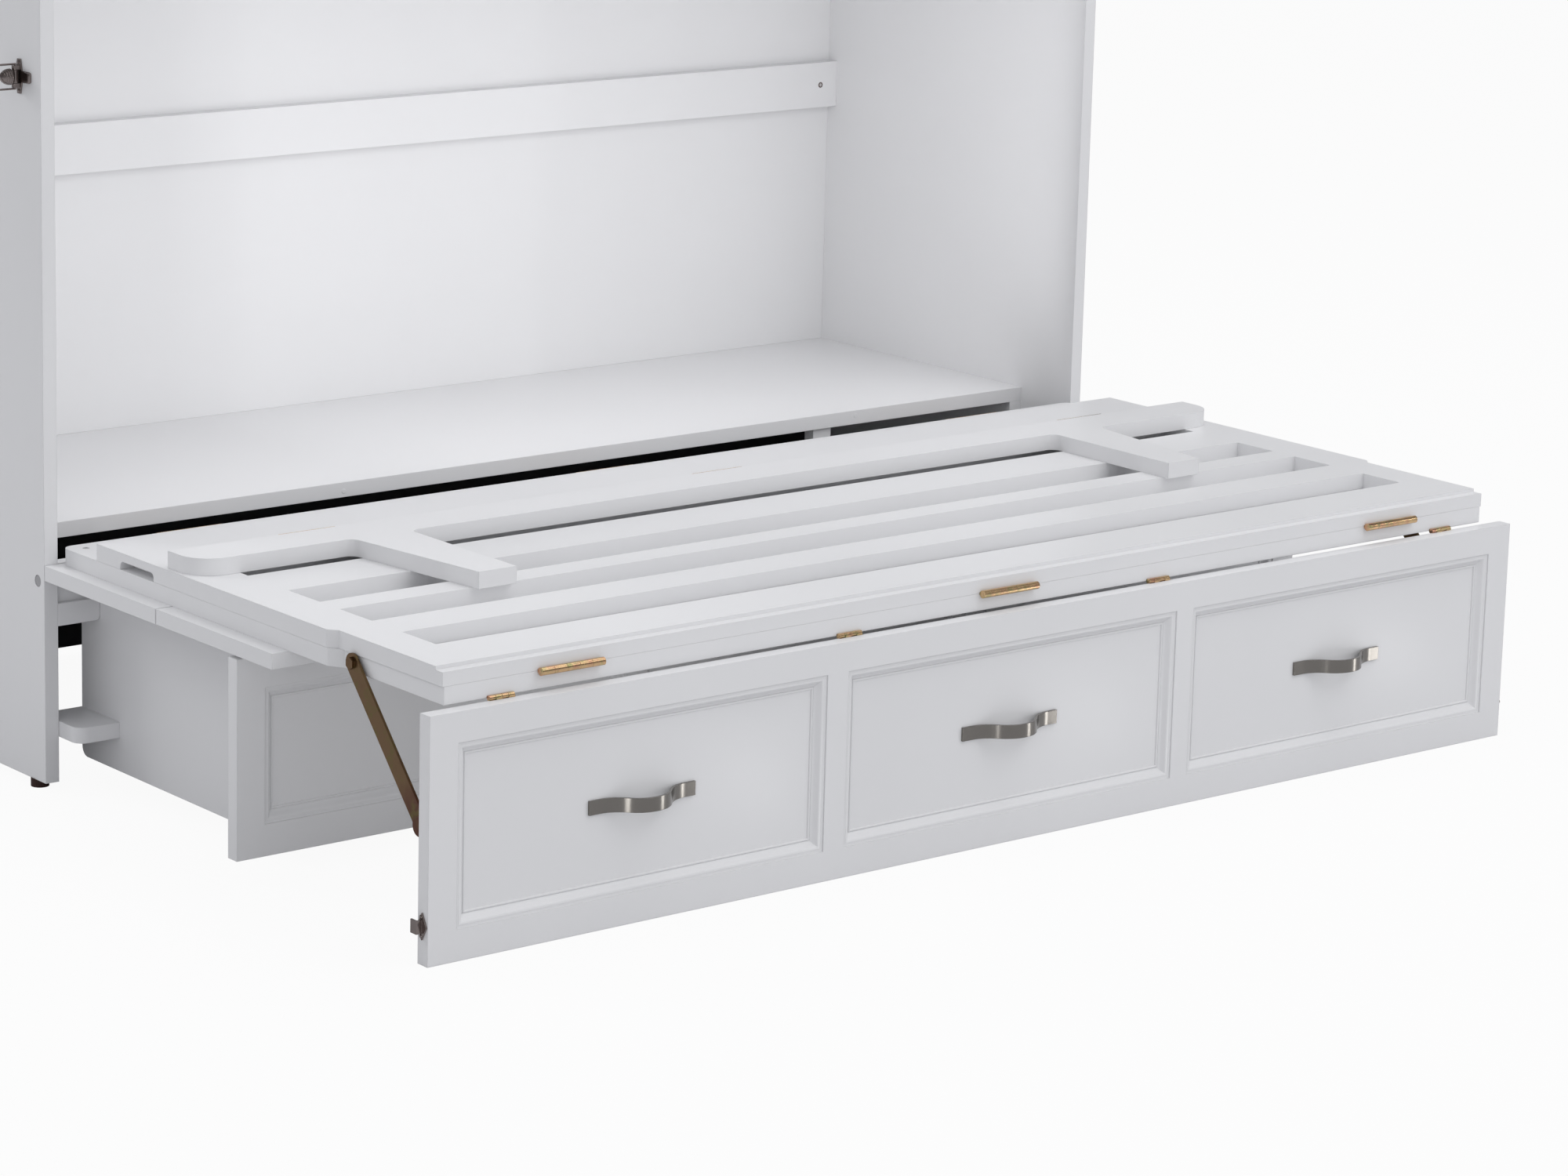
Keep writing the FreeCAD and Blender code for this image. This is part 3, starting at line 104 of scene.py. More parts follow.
# ---------------------------------------------------------------- node wiring
class Graph:
    """A node tree with short words for adding and joining nodes."""

    def __init__(self, tree: bpy.types.NodeTree) -> None:
        """Keeps the tree that is being wired."""
        self.tree = tree

    def add(self, kind: str, **settings: object) -> bpy.types.Node:
        """Adds a node and sets its attributes.

        Args:
            kind: the node's type name, without the ShaderNode prefix.
            settings: attributes of the node.

        Returns:
            The new node.
        """
        node = self.tree.nodes.new("ShaderNode" + kind)
        for name, value in settings.items():
            setattr(node, name, value)
        return node

    def join(self, source: bpy.types.NodeSocket, target: bpy.types.NodeSocket) -> None:
        """Links an output to an input."""
        self.tree.links.new(source, target)

    def give(self, socket: bpy.types.NodeSocket, value: object) -> None:
        """Links an output to an input, or sets a plain value on it."""
        if isinstance(value, bpy.types.NodeSocket):
            self.join(value, socket)
        else:
            socket.default_value = value

    def feed(self, node: bpy.types.Node, **values: object) -> None:
        """Gives inputs of a node by name; underscores stand for spaces."""
        for name, value in values.items():
            self.give(node.inputs[name.replace("_", " ")], value)

    def math(self, operation: str, first: object, second: object) -> bpy.types.NodeSocket:
        """Adds a Math node over two values or sockets and returns its output."""
        node = self.add("Math", operation=operation)
        for socket, value in zip(node.inputs, (first, second)):
            self.give(socket, value)
        return node.outputs[0]

    def mix(self, factor: object, first: object, second: object) -> bpy.types.NodeSocket:
        """Mixes two colours by a factor and returns the result."""
        node = self.add("Mix", data_type="RGBA")
        for number, value in ((0, factor), (6, first), (7, second)):
            self.give(node.inputs[number], value)
        return node.outputs[2]

    def stretched(self, scale: Triple) -> bpy.types.NodeSocket:
        """Object coordinates, scaled along each axis."""
        where = self.add("TexCoord")
        mapping = self.add("Mapping")
        self.join(where.outputs["Object"], mapping.inputs["Vector"])
        mapping.inputs["Scale"].default_value = scale
        return mapping.outputs["Vector"]

    def noise(self, vector: bpy.types.NodeSocket, scale: object, detail: float = 3.0,
              rough: float = 0.5) -> bpy.types.NodeSocket:
        """A noise value around 0.5 at the given scale."""
        node = self.add("TexNoise", noise_dimensions="3D")
        self.feed(node, Vector=vector, Scale=scale, Detail=detail, Roughness=rough)
        return node.outputs["Fac"]

    def band(self, value: object, low: float, high: float) -> bpy.types.NodeSocket:
        """Maps a value from low..high to 0..1, clamped."""
        node = self.add("MapRange", clamp=True)
        self.feed(node, Value=value, From_Min=low, From_Max=high)
        return node.outputs[0]


def new_group(name: str, inputs: dict[str, tuple[str, object]],
              outputs: dict[str, str]) -> tuple[bpy.types.NodeTree, Graph]:
    """Makes an empty shader group with named sockets.

    Args:
        name: the group's name.
        inputs: socket name to (kind, default value).
        outputs: socket name to kind.

    Returns:
        The group and a graph over it.
    """
    tree = bpy.data.node_groups.new(name, "ShaderNodeTree")
    for label, (kind, value) in inputs.items():
        socket = tree.interface.new_socket(label, in_out="INPUT", socket_type="NodeSocket" + kind)
        socket.default_value = value
    for label, kind in outputs.items():
        tree.interface.new_socket(label, in_out="OUTPUT", socket_type="NodeSocket" + kind)
    return tree, Graph(tree)


class Effects:
    """The shader groups that several finishes share, each built once."""

    def __init__(self) -> None:
        """Builds every group."""
        self.edges = self._edges()
        self.coat = self._coat()
        self.brushing = self._brushing()
        self.stain = self._stain()

    def _edges(self) -> bpy.types.NodeTree:
        """Softened edges: a rounded normal, and a mask that is 1 along sharp edges.

        The mask is one minus the cosine between the true and the rounded normal,
        widened to 0..1.
        """
        tree, graph = new_group("soft edges", {"Radius": ("Float", 0.0015)},
                                {"Normal": "Vector", "Mask": "Float"})
        given = tree.nodes.new("NodeGroupInput").outputs
        result = tree.nodes.new("NodeGroupOutput").inputs
        bevel = graph.add("Bevel", samples=4)
        graph.join(given["Radius"], bevel.inputs["Radius"])
        geometry = graph.add("NewGeometry")
        dot = graph.add("VectorMath", operation="DOT_PRODUCT")
        graph.join(bevel.outputs[0], dot.inputs[0])
        graph.join(geometry.outputs["True Normal"], dot.inputs[1])
        mask = graph.band(graph.math("SUBTRACT", 1.0, dot.outputs["Value"]), 0.0, 0.25)
        graph.join(bevel.outputs[0], result["Normal"])
        graph.join(mask, result["Mask"])
        return tree

    def _coat(self) -> bpy.types.NodeTree:
        """Sprayed satin paint over smooth board.

        Colour drifts between two tones in wide soft clouds, and is mixed towards a lighter
        tone along sharp edges as a painted highlight; the height holds the
        fine pebbling of sprayed paint and faint long fibres along the board.
        """
        tree, graph = new_group(
            "sprayed paint",
            {"Tone": ("Color", (0.8, 0.8, 0.8, 1)), "Shade": ("Color", (0.7, 0.7, 0.7, 1)),
             "Edge tone": ("Color", (0.9, 0.9, 0.9, 1)), "Edge mask": ("Float", 0.0),
             "Cloud scale": ("Float", 3.0), "Pebble scale": ("Float", 900.0),
             "Roughness": ("Float", 0.35)},
            {"Color": "Color", "Roughness": "Float", "Height": "Float"})
        given = tree.nodes.new("NodeGroupInput").outputs
        result = tree.nodes.new("NodeGroupOutput").inputs
        plain = graph.stretched((1.0, 1.0, 1.0))
        fibres = graph.stretched((6.0, 260.0, 260.0))
        cloud = graph.band(graph.noise(plain, given["Cloud scale"], 4.0), 0.32, 0.68)
        pebble = graph.noise(plain, given["Pebble scale"], 2.0)
        fibre = graph.noise(fibres, 1.0, 3.0, 0.6)
        tone = graph.mix(cloud, given["Shade"], given["Tone"])
        # Painted highlight: along sharp edges the colour is mixed towards the lighter edge tone.
        edge = graph.math("MULTIPLY", given["Edge mask"], 0.6)
        graph.join(graph.mix(edge, tone, given["Edge tone"]), result["Color"])
        smear = graph.math("MULTIPLY", graph.math("SUBTRACT", cloud, 0.5), 0.07)
        graph.join(graph.math("ADD", given["Roughness"], smear), result["Roughness"])
        height = graph.math("ADD", graph.math("MULTIPLY", pebble, 0.6),
                            graph.math("MULTIPLY", fibre, 0.4))
        graph.join(height, result["Height"])
        return tree

    def _brushing(self) -> bpy.types.NodeTree:
        """Fine parallel lines of brushed metal, already stretched along its length."""
        tree, graph = new_group(
            "brushed lines", {"Lines": ("Vector", (0.0, 0.0, 0.0)), "Roughness": ("Float", 0.3),
                              "Spread": ("Float", 0.15)},
            {"Roughness": "Float", "Height": "Float"})
        given = tree.nodes.new("NodeGroupInput").outputs
        result = tree.nodes.new("NodeGroupOutput").inputs
        lines = graph.noise(given["Lines"], 1.0, 6.0, 0.7)
        centred = graph.math("SUBTRACT", lines, 0.5)
        graph.join(graph.math("ADD", given["Roughness"],
                              graph.math("MULTIPLY", centred, given["Spread"])),
                   result["Roughness"])
        graph.join(lines, result["Height"])
        return tree

    def _stain(self) -> bpy.types.NodeTree:
        """Rainbow passivation of zinc: gold that drifts to rose, green and brown."""
        tree, graph = new_group(
            "zinc rainbow",
            {"Base": ("Color", (0.7, 0.55, 0.3, 1)), "Warm": ("Color", (0.7, 0.35, 0.25, 1)),
             "Cool": ("Color", (0.45, 0.55, 0.25, 1)), "Scale": ("Float", 60.0),
             "Roughness": ("Float", 0.3)},
            {"Color": "Color", "Roughness": "Float", "Height": "Float"})
        given = tree.nodes.new("NodeGroupInput").outputs
        result = tree.nodes.new("NodeGroupOutput").inputs
        along = graph.stretched((1.0, 0.55, 0.55))
        plain = graph.stretched((1.0, 1.0, 1.0))
        first = graph.band(graph.noise(along, given["Scale"], 3.0, 0.6), 0.45, 0.7)
        second = graph.band(graph.noise(plain, graph.math("MULTIPLY", given["Scale"], 1.7),
                                        3.0, 0.6), 0.5, 0.7)
        colour = graph.mix(first, given["Base"], given["Warm"])
        colour = graph.mix(second, colour, given["Cool"])
        graph.join(colour, result["Color"])
        fine = graph.noise(plain, 1400.0, 2.0)
        graph.join(graph.math("ADD", given["Roughness"],
                              graph.math("MULTIPLY", graph.math("SUBTRACT", fine, 0.5), 0.2)),
                   result["Roughness"])
        graph.join(fine, result["Height"])
        return tree


# ---------------------------------------------------------------- finishes
def place_group(graph: Graph, tree: bpy.types.NodeTree, **values: object) -> bpy.types.Node:
    """Puts a shared group into a material with its own values."""
    node = graph.add("Group", node_tree=tree)
    graph.feed(node, **values)
    return node


def shader_of(name: str) -> tuple[bpy.types.Material, Graph, bpy.types.Node]:
    """A new node material with its Principled shader."""
    material = bpy.data.materials.new(name)
    material.use_nodes = True
    graph = Graph(material.node_tree)
    return material, graph, material.node_tree.nodes["Principled BSDF"]


@dataclass(frozen=True)
class Paint:
    """Sprayed satin paint on board, with slightly rounded edges that carry a painted highlight in a
    lighter tone.
    """

    name: str
    tone: Triple
    shade: Triple
    # The edge tone is a painted highlight, laid along sharp edges.
    edge_highlight_tone: Triple
    roughness: float = 0.36
    edge_radius: float = 0.0012
    pebble: float = 0.05
    specular: float = 0.4

    def build(self, effects: Effects) -> bpy.types.Material:
        """Makes the material.

        Args:
            effects: the shared groups.

        Returns:
            The paint.
        """
        material, graph, shader = shader_of(self.name)
        edges = place_group(graph, effects.edges, Radius=self.edge_radius)
        coat = place_group(graph, effects.coat, Tone=(*self.tone, 1), Shade=(*self.shade, 1),
                           Edge_tone=(*self.edge_highlight_tone, 1), Edge_mask=edges.outputs["Mask"],
                           Roughness=self.roughness)
        bump = graph.add("Bump")
        graph.feed(bump, Strength=self.pebble, Distance=0.0004, Height=coat.outputs["Height"],
                   Normal=edges.outputs["Normal"])
        graph.feed(shader, Base_Color=coat.outputs["Color"], Roughness=coat.outputs["Roughness"],
                   Normal=bump.outputs[0], Specular_IOR_Level=self.specular)
        return material


@dataclass(frozen=True)
class BrushedMetal:
    """Metal with fine lines along one axis."""

    name: str
    colour: Triple
    along: Axis = Axis.X
    roughness: float = 0.3
    spread: float = 0.25
    edge_radius: float = 0.0006
    relief: float = 0.08

    def build(self, effects: Effects) -> bpy.types.Material:
        """Makes the material from the shared groups and returns it."""
        material, graph, shader = shader_of(self.name)
        scale = [2600.0, 2600.0, 2600.0]
        scale[self.along.value] = 40.0
        edges = place_group(graph, effects.edges, Radius=self.edge_radius)
        brushing = place_group(graph, effects.brushing, Lines=graph.stretched(tuple(scale)),
                               Roughness=self.roughness, Spread=self.spread)
        bump = graph.add("Bump")
        graph.feed(bump, Strength=self.relief, Distance=0.0001,
                   Height=brushing.outputs["Height"], Normal=edges.outputs["Normal"])
        shade = graph.mix(brushing.outputs["Height"], (*[c * 0.82 for c in self.colour], 1),
                          (*self.colour, 1))
        graph.feed(shader, Base_Color=shade, Metallic=1.0,
                   Roughness=brushing.outputs["Roughness"], Normal=bump.outputs[0])
        return material


@dataclass(frozen=True)
class ZincPlate:
    """Yellow zinc plating with its oily rainbow."""

    name: str
    base: Triple
    warm: Triple
    cool: Triple
    roughness: float = 0.3
    scale: float = 55.0
    edge_radius: float = 0.0005

    def build(self, effects: Effects) -> bpy.types.Material:
        """Makes the material from the shared groups and returns it."""
        material, graph, shader = shader_of(self.name)
        edges = place_group(graph, effects.edges, Radius=self.edge_radius)
        stain = place_group(graph, effects.stain, Base=(*self.base, 1), Warm=(*self.warm, 1),
                            Cool=(*self.cool, 1), Scale=self.scale, Roughness=self.roughness)
        bump = graph.add("Bump")
        graph.feed(bump, Strength=0.06, Distance=0.0001, Height=stain.outputs["Height"],
                   Normal=edges.outputs["Normal"])
        graph.feed(shader, Base_Color=stain.outputs["Color"], Metallic=1.0,
                   Roughness=stain.outputs["Roughness"], Normal=bump.outputs[0])
        return material


@dataclass(frozen=True)
class Moulded:
    """Dull moulded plastic, rubber or bare dark board."""

    name: str
    tone: Triple
    shade: Triple
    roughness: float = 0.6
    edge_radius: float = 0.001

    def build(self, effects: Effects) -> bpy.types.Material:
        """Makes the material from the shared groups and returns it."""
        material, graph, shader = shader_of(self.name)
        edges = place_group(graph, effects.edges, Radius=self.edge_radius)
        # Painted highlight: along sharp edges the colour is mixed towards 1.6 times the tone.
        coat = place_group(graph, effects.coat, Tone=(*self.tone, 1), Shade=(*self.shade, 1),
                           Edge_tone=(*[min(1.0, c * 1.6) for c in self.tone], 1),
                           Edge_mask=edges.outputs["Mask"], Cloud_scale=14.0,
                           Pebble_scale=1500.0, Roughness=self.roughness)
        bump = graph.add("Bump")
        graph.feed(bump, Strength=0.2, Distance=0.0003, Height=coat.outputs["Height"],
                   Normal=edges.outputs["Normal"])
        graph.feed(shader, Base_Color=coat.outputs["Color"], Roughness=coat.outputs["Roughness"],
                   Normal=bump.outputs[0], Specular_IOR_Level=0.3)
        return material


@dataclass
class Finishes:
    """Every finish of the object, by the record's slot name."""

    effects: Effects
    # Each paint's third colour is its painted edge highlight.
    white: Paint = Paint("white satin paint", (0.80, 0.80, 0.81), (0.78, 0.78, 0.79),
                         (0.86, 0.86, 0.87))
    black: Moulded = Moulded("black back board", (0.018, 0.018, 0.019), (0.012, 0.012, 0.013),
                             0.55)
    hinge: ZincPlate = ZincPlate("yellow zinc hinge", (0.74, 0.51, 0.28), (0.66, 0.33, 0.23),
                                 (0.46, 0.42, 0.20), 0.24, 70.0)
    strap: ZincPlate = ZincPlate("brown zinc strap", (0.20, 0.125, 0.065), (0.13, 0.055, 0.04),
                                 (0.17, 0.145, 0.05), 0.33, 26.0)
    pull: BrushedMetal = BrushedMetal("brushed nickel", (0.26, 0.245, 0.225), Axis.X, 0.22)
    latch: BrushedMetal = BrushedMetal("dark nickel", (0.32, 0.275, 0.26), Axis.Z, 0.2, 0.1)
    bolt: BrushedMetal = BrushedMetal("plated steel", (0.55, 0.55, 0.56), Axis.Y, 0.35, 0.2)
    foot: Moulded = Moulded("dark foot", (0.055, 0.022, 0.016), (0.035, 0.014, 0.011), 0.5)
    wheel: Moulded = Moulded("caster plastic", (0.10, 0.10, 0.105), (0.08, 0.08, 0.085), 0.45)
    materials: dict[str, bpy.types.Material] = field(default_factory=dict)

    def build(self) -> None:
        """Makes one material for each slot."""
        by_slot = {"white_paint": self.white, "black_board": self.black,
                   "zinc_hinge": self.hinge, "zinc_strap": self.strap,
                   "brushed_nickel": self.pull, "dark_nickel": self.latch,
                   "bolt_steel": self.bolt, "dark_foot": self.foot,
                   "caster_plastic": self.wheel}
        for slot, finish in by_slot.items():
            self.materials[slot] = finish.build(self.effects)
        LOG.info("made %d finishes", len(by_slot))

    def dress_frame(self, nodes: dict[str, bpy.types.Object], record: dict) -> None:
        """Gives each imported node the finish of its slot.

        Args:
            nodes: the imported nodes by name.
            record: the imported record, which names each node's slot.
        """
        for row in record["subparts"]:
            mesh_object = nodes[row["node"]]
            mesh_object.data.materials.clear()
            mesh_object.data.materials.append(self.materials[row["material_slot"]])
        LOG.info("dressed %d nodes", len(record["subparts"]))


# ---------------------------------------------------------------- surfaces
def grid_faces(rows: int, columns: int, closed_rows: bool = False) -> np.ndarray:
    """Quads over a grid of vertices numbered row by row.

    Args:
        rows: number of vertex rows.
        columns: vertices in a row.
        closed_rows: joins the last row to the first; columns are always joined.

    Returns:
        An array of four vertex numbers per face.
    """
    row, column = np.meshgrid(np.arange(rows if closed_rows else rows - 1),
                              np.arange(columns), indexing="ij")
    below = (row + 1) % rows
    beside = (column + 1) % columns
    faces = np.stack([row * columns + column, row * columns + beside,
                      below * columns + beside, below * columns + column], axis=-1)
    return faces.reshape(-1, 4)


def facing_frame(facing: Facing) -> np.ndarray:
    """A 3 by 3 matrix whose third column is the way that a fitting looks."""
    normal = np.array(facing.value)
    helper = np.array([1.0, 0.0, 0.0]) if abs(normal[0]) < 0.5 else np.array([0.0, 1.0, 0.0])
    side = np.cross(helper, normal)
    side /= np.linalg.norm(side)
    return np.stack([side, np.cross(normal, side), normal], axis=1)


def lathe(profile: np.ndarray, sides: int = 32) -> tuple[np.ndarray, np.ndarray]:
    """A closed turned form: each (radius, height) is swept round the local Z axis.

    A point is (r cos a, r sin a, h), with a in even steps; poles have radius 0 and
    are merged later.

    Args:
        profile: rows of radius and height, from one pole to the other.
        sides: number of steps round the axis.

    Returns:
        Points and faces.
    """
    angle = np.linspace(0.0, 2 * math.pi, sides, endpoint=False)
    radius, height = profile[:, 0:1], profile[:, 1:2]
    points = np.stack([radius * np.cos(angle), radius * np.sin(angle),
                       height + 0 * angle], axis=-1)
    return points.reshape(-1, 3), grid_faces(len(profile), sides)


def make_piece(name: str, points: np.ndarray, faces: np.ndarray,
               material: bpy.types.Material, smooth: bool = True) -> bpy.types.Object:
    """Puts worked-out points and faces into a mesh, merges poles and links it.

    Args:
        name: the piece's name.
        points: vertex places in the row frame, n by 3.
        faces: vertex numbers, m by 4.
        material: its finish.
        smooth: shades it smooth where neighbouring faces are nearly level.

    Returns:
        The new object, at the origin.
    """
    mesh = bpy.data.meshes.new(name)
    mesh.from_pydata(points.tolist(), [], faces.tolist())
    mesh.validate()
    work = bpy.data.objects.new(name, mesh)
    bpy.context.scene.collection.objects.link(work)
    merge_and_turn(mesh)
    mesh.materials.append(material)
    if smooth:
        mesh.shade_smooth()
        bpy.context.view_layer.objects.active = work
        mesh.set_sharp_from_angle(angle=math.radians(35))
    return work


def merge_and_turn(mesh: bpy.types.Mesh) -> None:
    """Merges doubled vertices and points every face outwards."""
    work = bmesh.new()
    work.from_mesh(mesh)
    bmesh.ops.remove_doubles(work, verts=work.verts, dist=1e-6)
    bmesh.ops.dissolve_degenerate(work, edges=work.edges, dist=1e-7)
    bmesh.ops.recalc_face_normals(work, faces=work.faces)
    work.to_mesh(mesh)
    work.free()


# ---------------------------------------------------------------- small fittings
@dataclass
class ScrewHead:
    """A countersunk cross-head screw seen flush in a board."""

    radius: float = 0.0042
    dish: float = 0.0006
    cross: float = 0.0022
    slot: float = 0.28
    depth: float = 0.0012
    skirt: float = 0.0004

    def surface(self, spot: Triple, facing: Facing) -> tuple[np.ndarray, np.ndarray]:
        """Works out the head over a polar grid.

        Height is a shallow dome, r and a being the polar place: dish * (1 - r^2),
        less the cross: depth where the smaller of |x| and |y| is under slot times
        the cross and the larger is within it.

        Args:
            spot: centre of the head's rim.
            facing: the way it looks.

        Returns:
            Points and faces.
        """
        rings = np.linspace(0.0, 1.0, 15)
        angle = np.linspace(0.0, 2 * math.pi, 48, endpoint=False)
        ring, turn = np.meshgrid(rings, angle, indexing="ij")
        x = self.radius * ring * np.cos(turn)
        y = self.radius * ring * np.sin(turn)
        lesser = np.minimum(np.abs(x), np.abs(y))
        greater = np.maximum(np.abs(x), np.abs(y))
        sunk = (lesser < self.cross * self.slot) & (greater < self.cross)
        height = self.dish * (1 - ring ** 2) - self.depth * sunk
        local = np.stack([x, y, height], axis=-1).reshape(-1, 3)
        skirt = np.stack([self.radius * np.cos(angle), self.radius * np.sin(angle),
                          np.full_like(angle, -self.skirt)], axis=-1)
        low = np.stack([0 * angle, 0 * angle, np.full_like(angle, -self.skirt)], axis=-1)
        local = np.concatenate([local, skirt, low])
        points = local @ facing_frame(facing).T + np.array(spot)
        return points, grid_faces(len(rings) + 2, len(angle))


@dataclass
class Plug:
    """A painted wooden plug over a sunk screw: a shallow disc with a groove round it."""

    radius: float = 0.0062
    stand: float = 0.0003

    def surface(self, spot: Triple, facing: Facing) -> tuple[np.ndarray, np.ndarray]:
        """Turns the plug's profile round its axis and moves it to its spot."""
        r, h = self.radius, self.stand
        profile = np.array([[0, h * 1.2], [r * 0.6, h * 1.1], [r * 0.9, h], [r * 0.97, h * 0.4],
                            [r, -h], [0, -h]])
        points, faces = lathe(profile)
        return points @ facing_frame(facing).T + np.array(spot), faces


@dataclass
class Rivet:
    """A domed head, used for the rivets."""

    radius: float = 0.003
    rise: float = 0.0016

    def surface(self, spot: Triple, facing: Facing) -> tuple[np.ndarray, np.ndarray]:
        """A quarter ellipse turned round its axis: r sin t, rise cos t."""
        t = np.linspace(0.0, math.pi / 2, 9)
        dome = np.stack([self.radius * np.sin(t), self.rise * np.cos(t)], axis=-1)
        foot = np.array([[self.radius, -0.0002], [0.0, -0.0002]])
        points, faces = lathe(np.concatenate([dome, foot]))
        return points @ facing_frame(facing).T + np.array(spot), faces


BEAD_RADIUS = 1.4
FRAME_COLUMNS = ((-0.782, -0.282), (-0.252, 0.250), (0.277, 0.783))


@dataclass(frozen=True)
class FramedBoard:
    """One board with three sunk frames, each lined with an ogee and a fine bead.

    low and high are the frames' limits up the board, from the board's lower edge.
    """

    node: str
    body: str
    low: float
    high: float
    lies: Lies = Lies.UPRIGHT

    def surface(self, left: float, right: float) -> tuple[np.ndarray, np.ndarray]:
        """Sweeps the moulding's section round one frame, with mitred corners.

        With t from 0 to 1 along the cut's slope, the ogee stands 0.9 (1 + sin 2 pi t)
        times the root of sin pi t above it, in millimetres; a half-round bead
        of 1.4 mm radius follows at the slope's foot.

        Args:
            left: the frame's left limit.
            right: its right limit.

        Returns:
            Points and faces.
        """
        t = np.linspace(0.0, 1.0, 17)
        swell = (1 + np.sin(2 * math.pi * t)) * np.sqrt(np.sin(math.pi * t).clip(0)) * 0.9
        ogee = np.stack([3 + 10.2 * t, 1.5 + 7.88 * t - swell], axis=-1)
        turn = np.linspace(math.pi, 0.0, 9)
        bead = np.stack([14.7 + BEAD_RADIUS * np.cos(turn), 9.6 - BEAD_RADIUS * np.sin(turn)],
                        axis=-1)
        under = np.array([[16.1, 10.3], [13.6, 10.6], [2.9, 2.1]])
        section = np.concatenate([ogee, bead, under]) / 1000.0
        inset, depth = section[:, 0:1], section[:, 1:2]
        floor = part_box(self.node)[0]
        across = np.concatenate([left + inset, right - inset, right - inset, left + inset], axis=1)
        flat = self.lies is Lies.FLAT
        start = floor.y if flat else floor.z
        along = start + np.concatenate([self.low + inset, self.low + inset,
                                        self.high - inset, self.high - inset], axis=1)
        sunk = depth + 0 * across + (floor.z if flat else floor.y)
        points = np.stack([across, along, sunk] if flat else [across, sunk, along], axis=-1)
        return points.reshape(-1, 3), grid_faces(len(section), 4, True)


FRAMED_BOARDS = (
    FramedBoard("front_panel", "panel", 0.035, 0.238),
    FramedBoard("drawer_front", "drawer", 0.037, 0.194),
    FramedBoard("facade_board_lower", "deck", 0.033, 0.211, Lies.FLAT),
    FramedBoard("facade_board_upper", "deck", 0.033, 0.205, Lies.FLAT),
)


@dataclass
class LatchTrim:
    """The draw latch's ribbed thumb dome and its square tongue."""

    radius: float = 0.0092
    rise: float = 0.0125
    ribs: float = 5.0
    rear_flat: float = 0.0043

    def dome(self, side: Side) -> tuple[np.ndarray, np.ndarray]:
        """A dome turned about the lever: R sqrt(1 - h^2), with fine rings round it.

        Its rear is cut flat, so that it clears the chest when the lever lies folded.
        """
        low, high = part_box("latch_lever_" + side.word)
        tip = low.x if side is Side.LEFT else high.x
        h = np.linspace(0.0, 1.0, 49)
        ring = 1 + 0.045 * np.cos(2 * math.pi * self.ribs * h)
        radius = self.radius * np.sqrt((1 - h ** 2).clip(0)) * ring
        profile = np.concatenate([[[0.0, 0.0]], np.stack([radius, self.rise * h], axis=-1)])
        points, faces = lathe(profile, 40)
        look = Facing.LEFT if side is Side.LEFT else Facing.RIGHT
        base = (tip - side.value * self.rise, (low.y + high.y) / 2, (low.z + high.z) / 2)
        points = points @ facing_frame(look).T + np.array(base)
        points[:, 1] = np.minimum(points[:, 1], base[1] + self.rear_flat)
        return points, faces

    def tongue(self, side: Side) -> tuple[np.ndarray, np.ndarray]:
        """A rounded block: a superellipse of power 6 in plan, its rim drawn in."""
        low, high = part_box("latch_base_" + side.word)
        face = side.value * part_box("side_right")[1].x
        turn = np.linspace(0.0, 2 * math.pi, 40, endpoint=False)
        power = 1 / 3.0
        plan_y = 0.0066 * np.sign(np.cos(turn)) * np.abs(np.cos(turn)) ** power
        plan_z = 0.0062 * np.sign(np.sin(turn)) * np.abs(np.sin(turn)) ** power
        rows = np.array([[0.0, 0.0], [1.0, 0.0], [1.0, 0.0034], [0.93, 0.0042], [0.0, 0.0044]])
        scale, out = rows[:, 0:1], rows[:, 1:2]
        centre = (low.y + 0.0030, (low.z + high.z) / 2)
        points = np.stack([face + side.value * out + 0 * turn * scale,
                           centre[0] + scale * plan_y, centre[1] + scale * plan_z], axis=-1)
        return points.reshape(-1, 3), grid_faces(len(rows), len(turn))


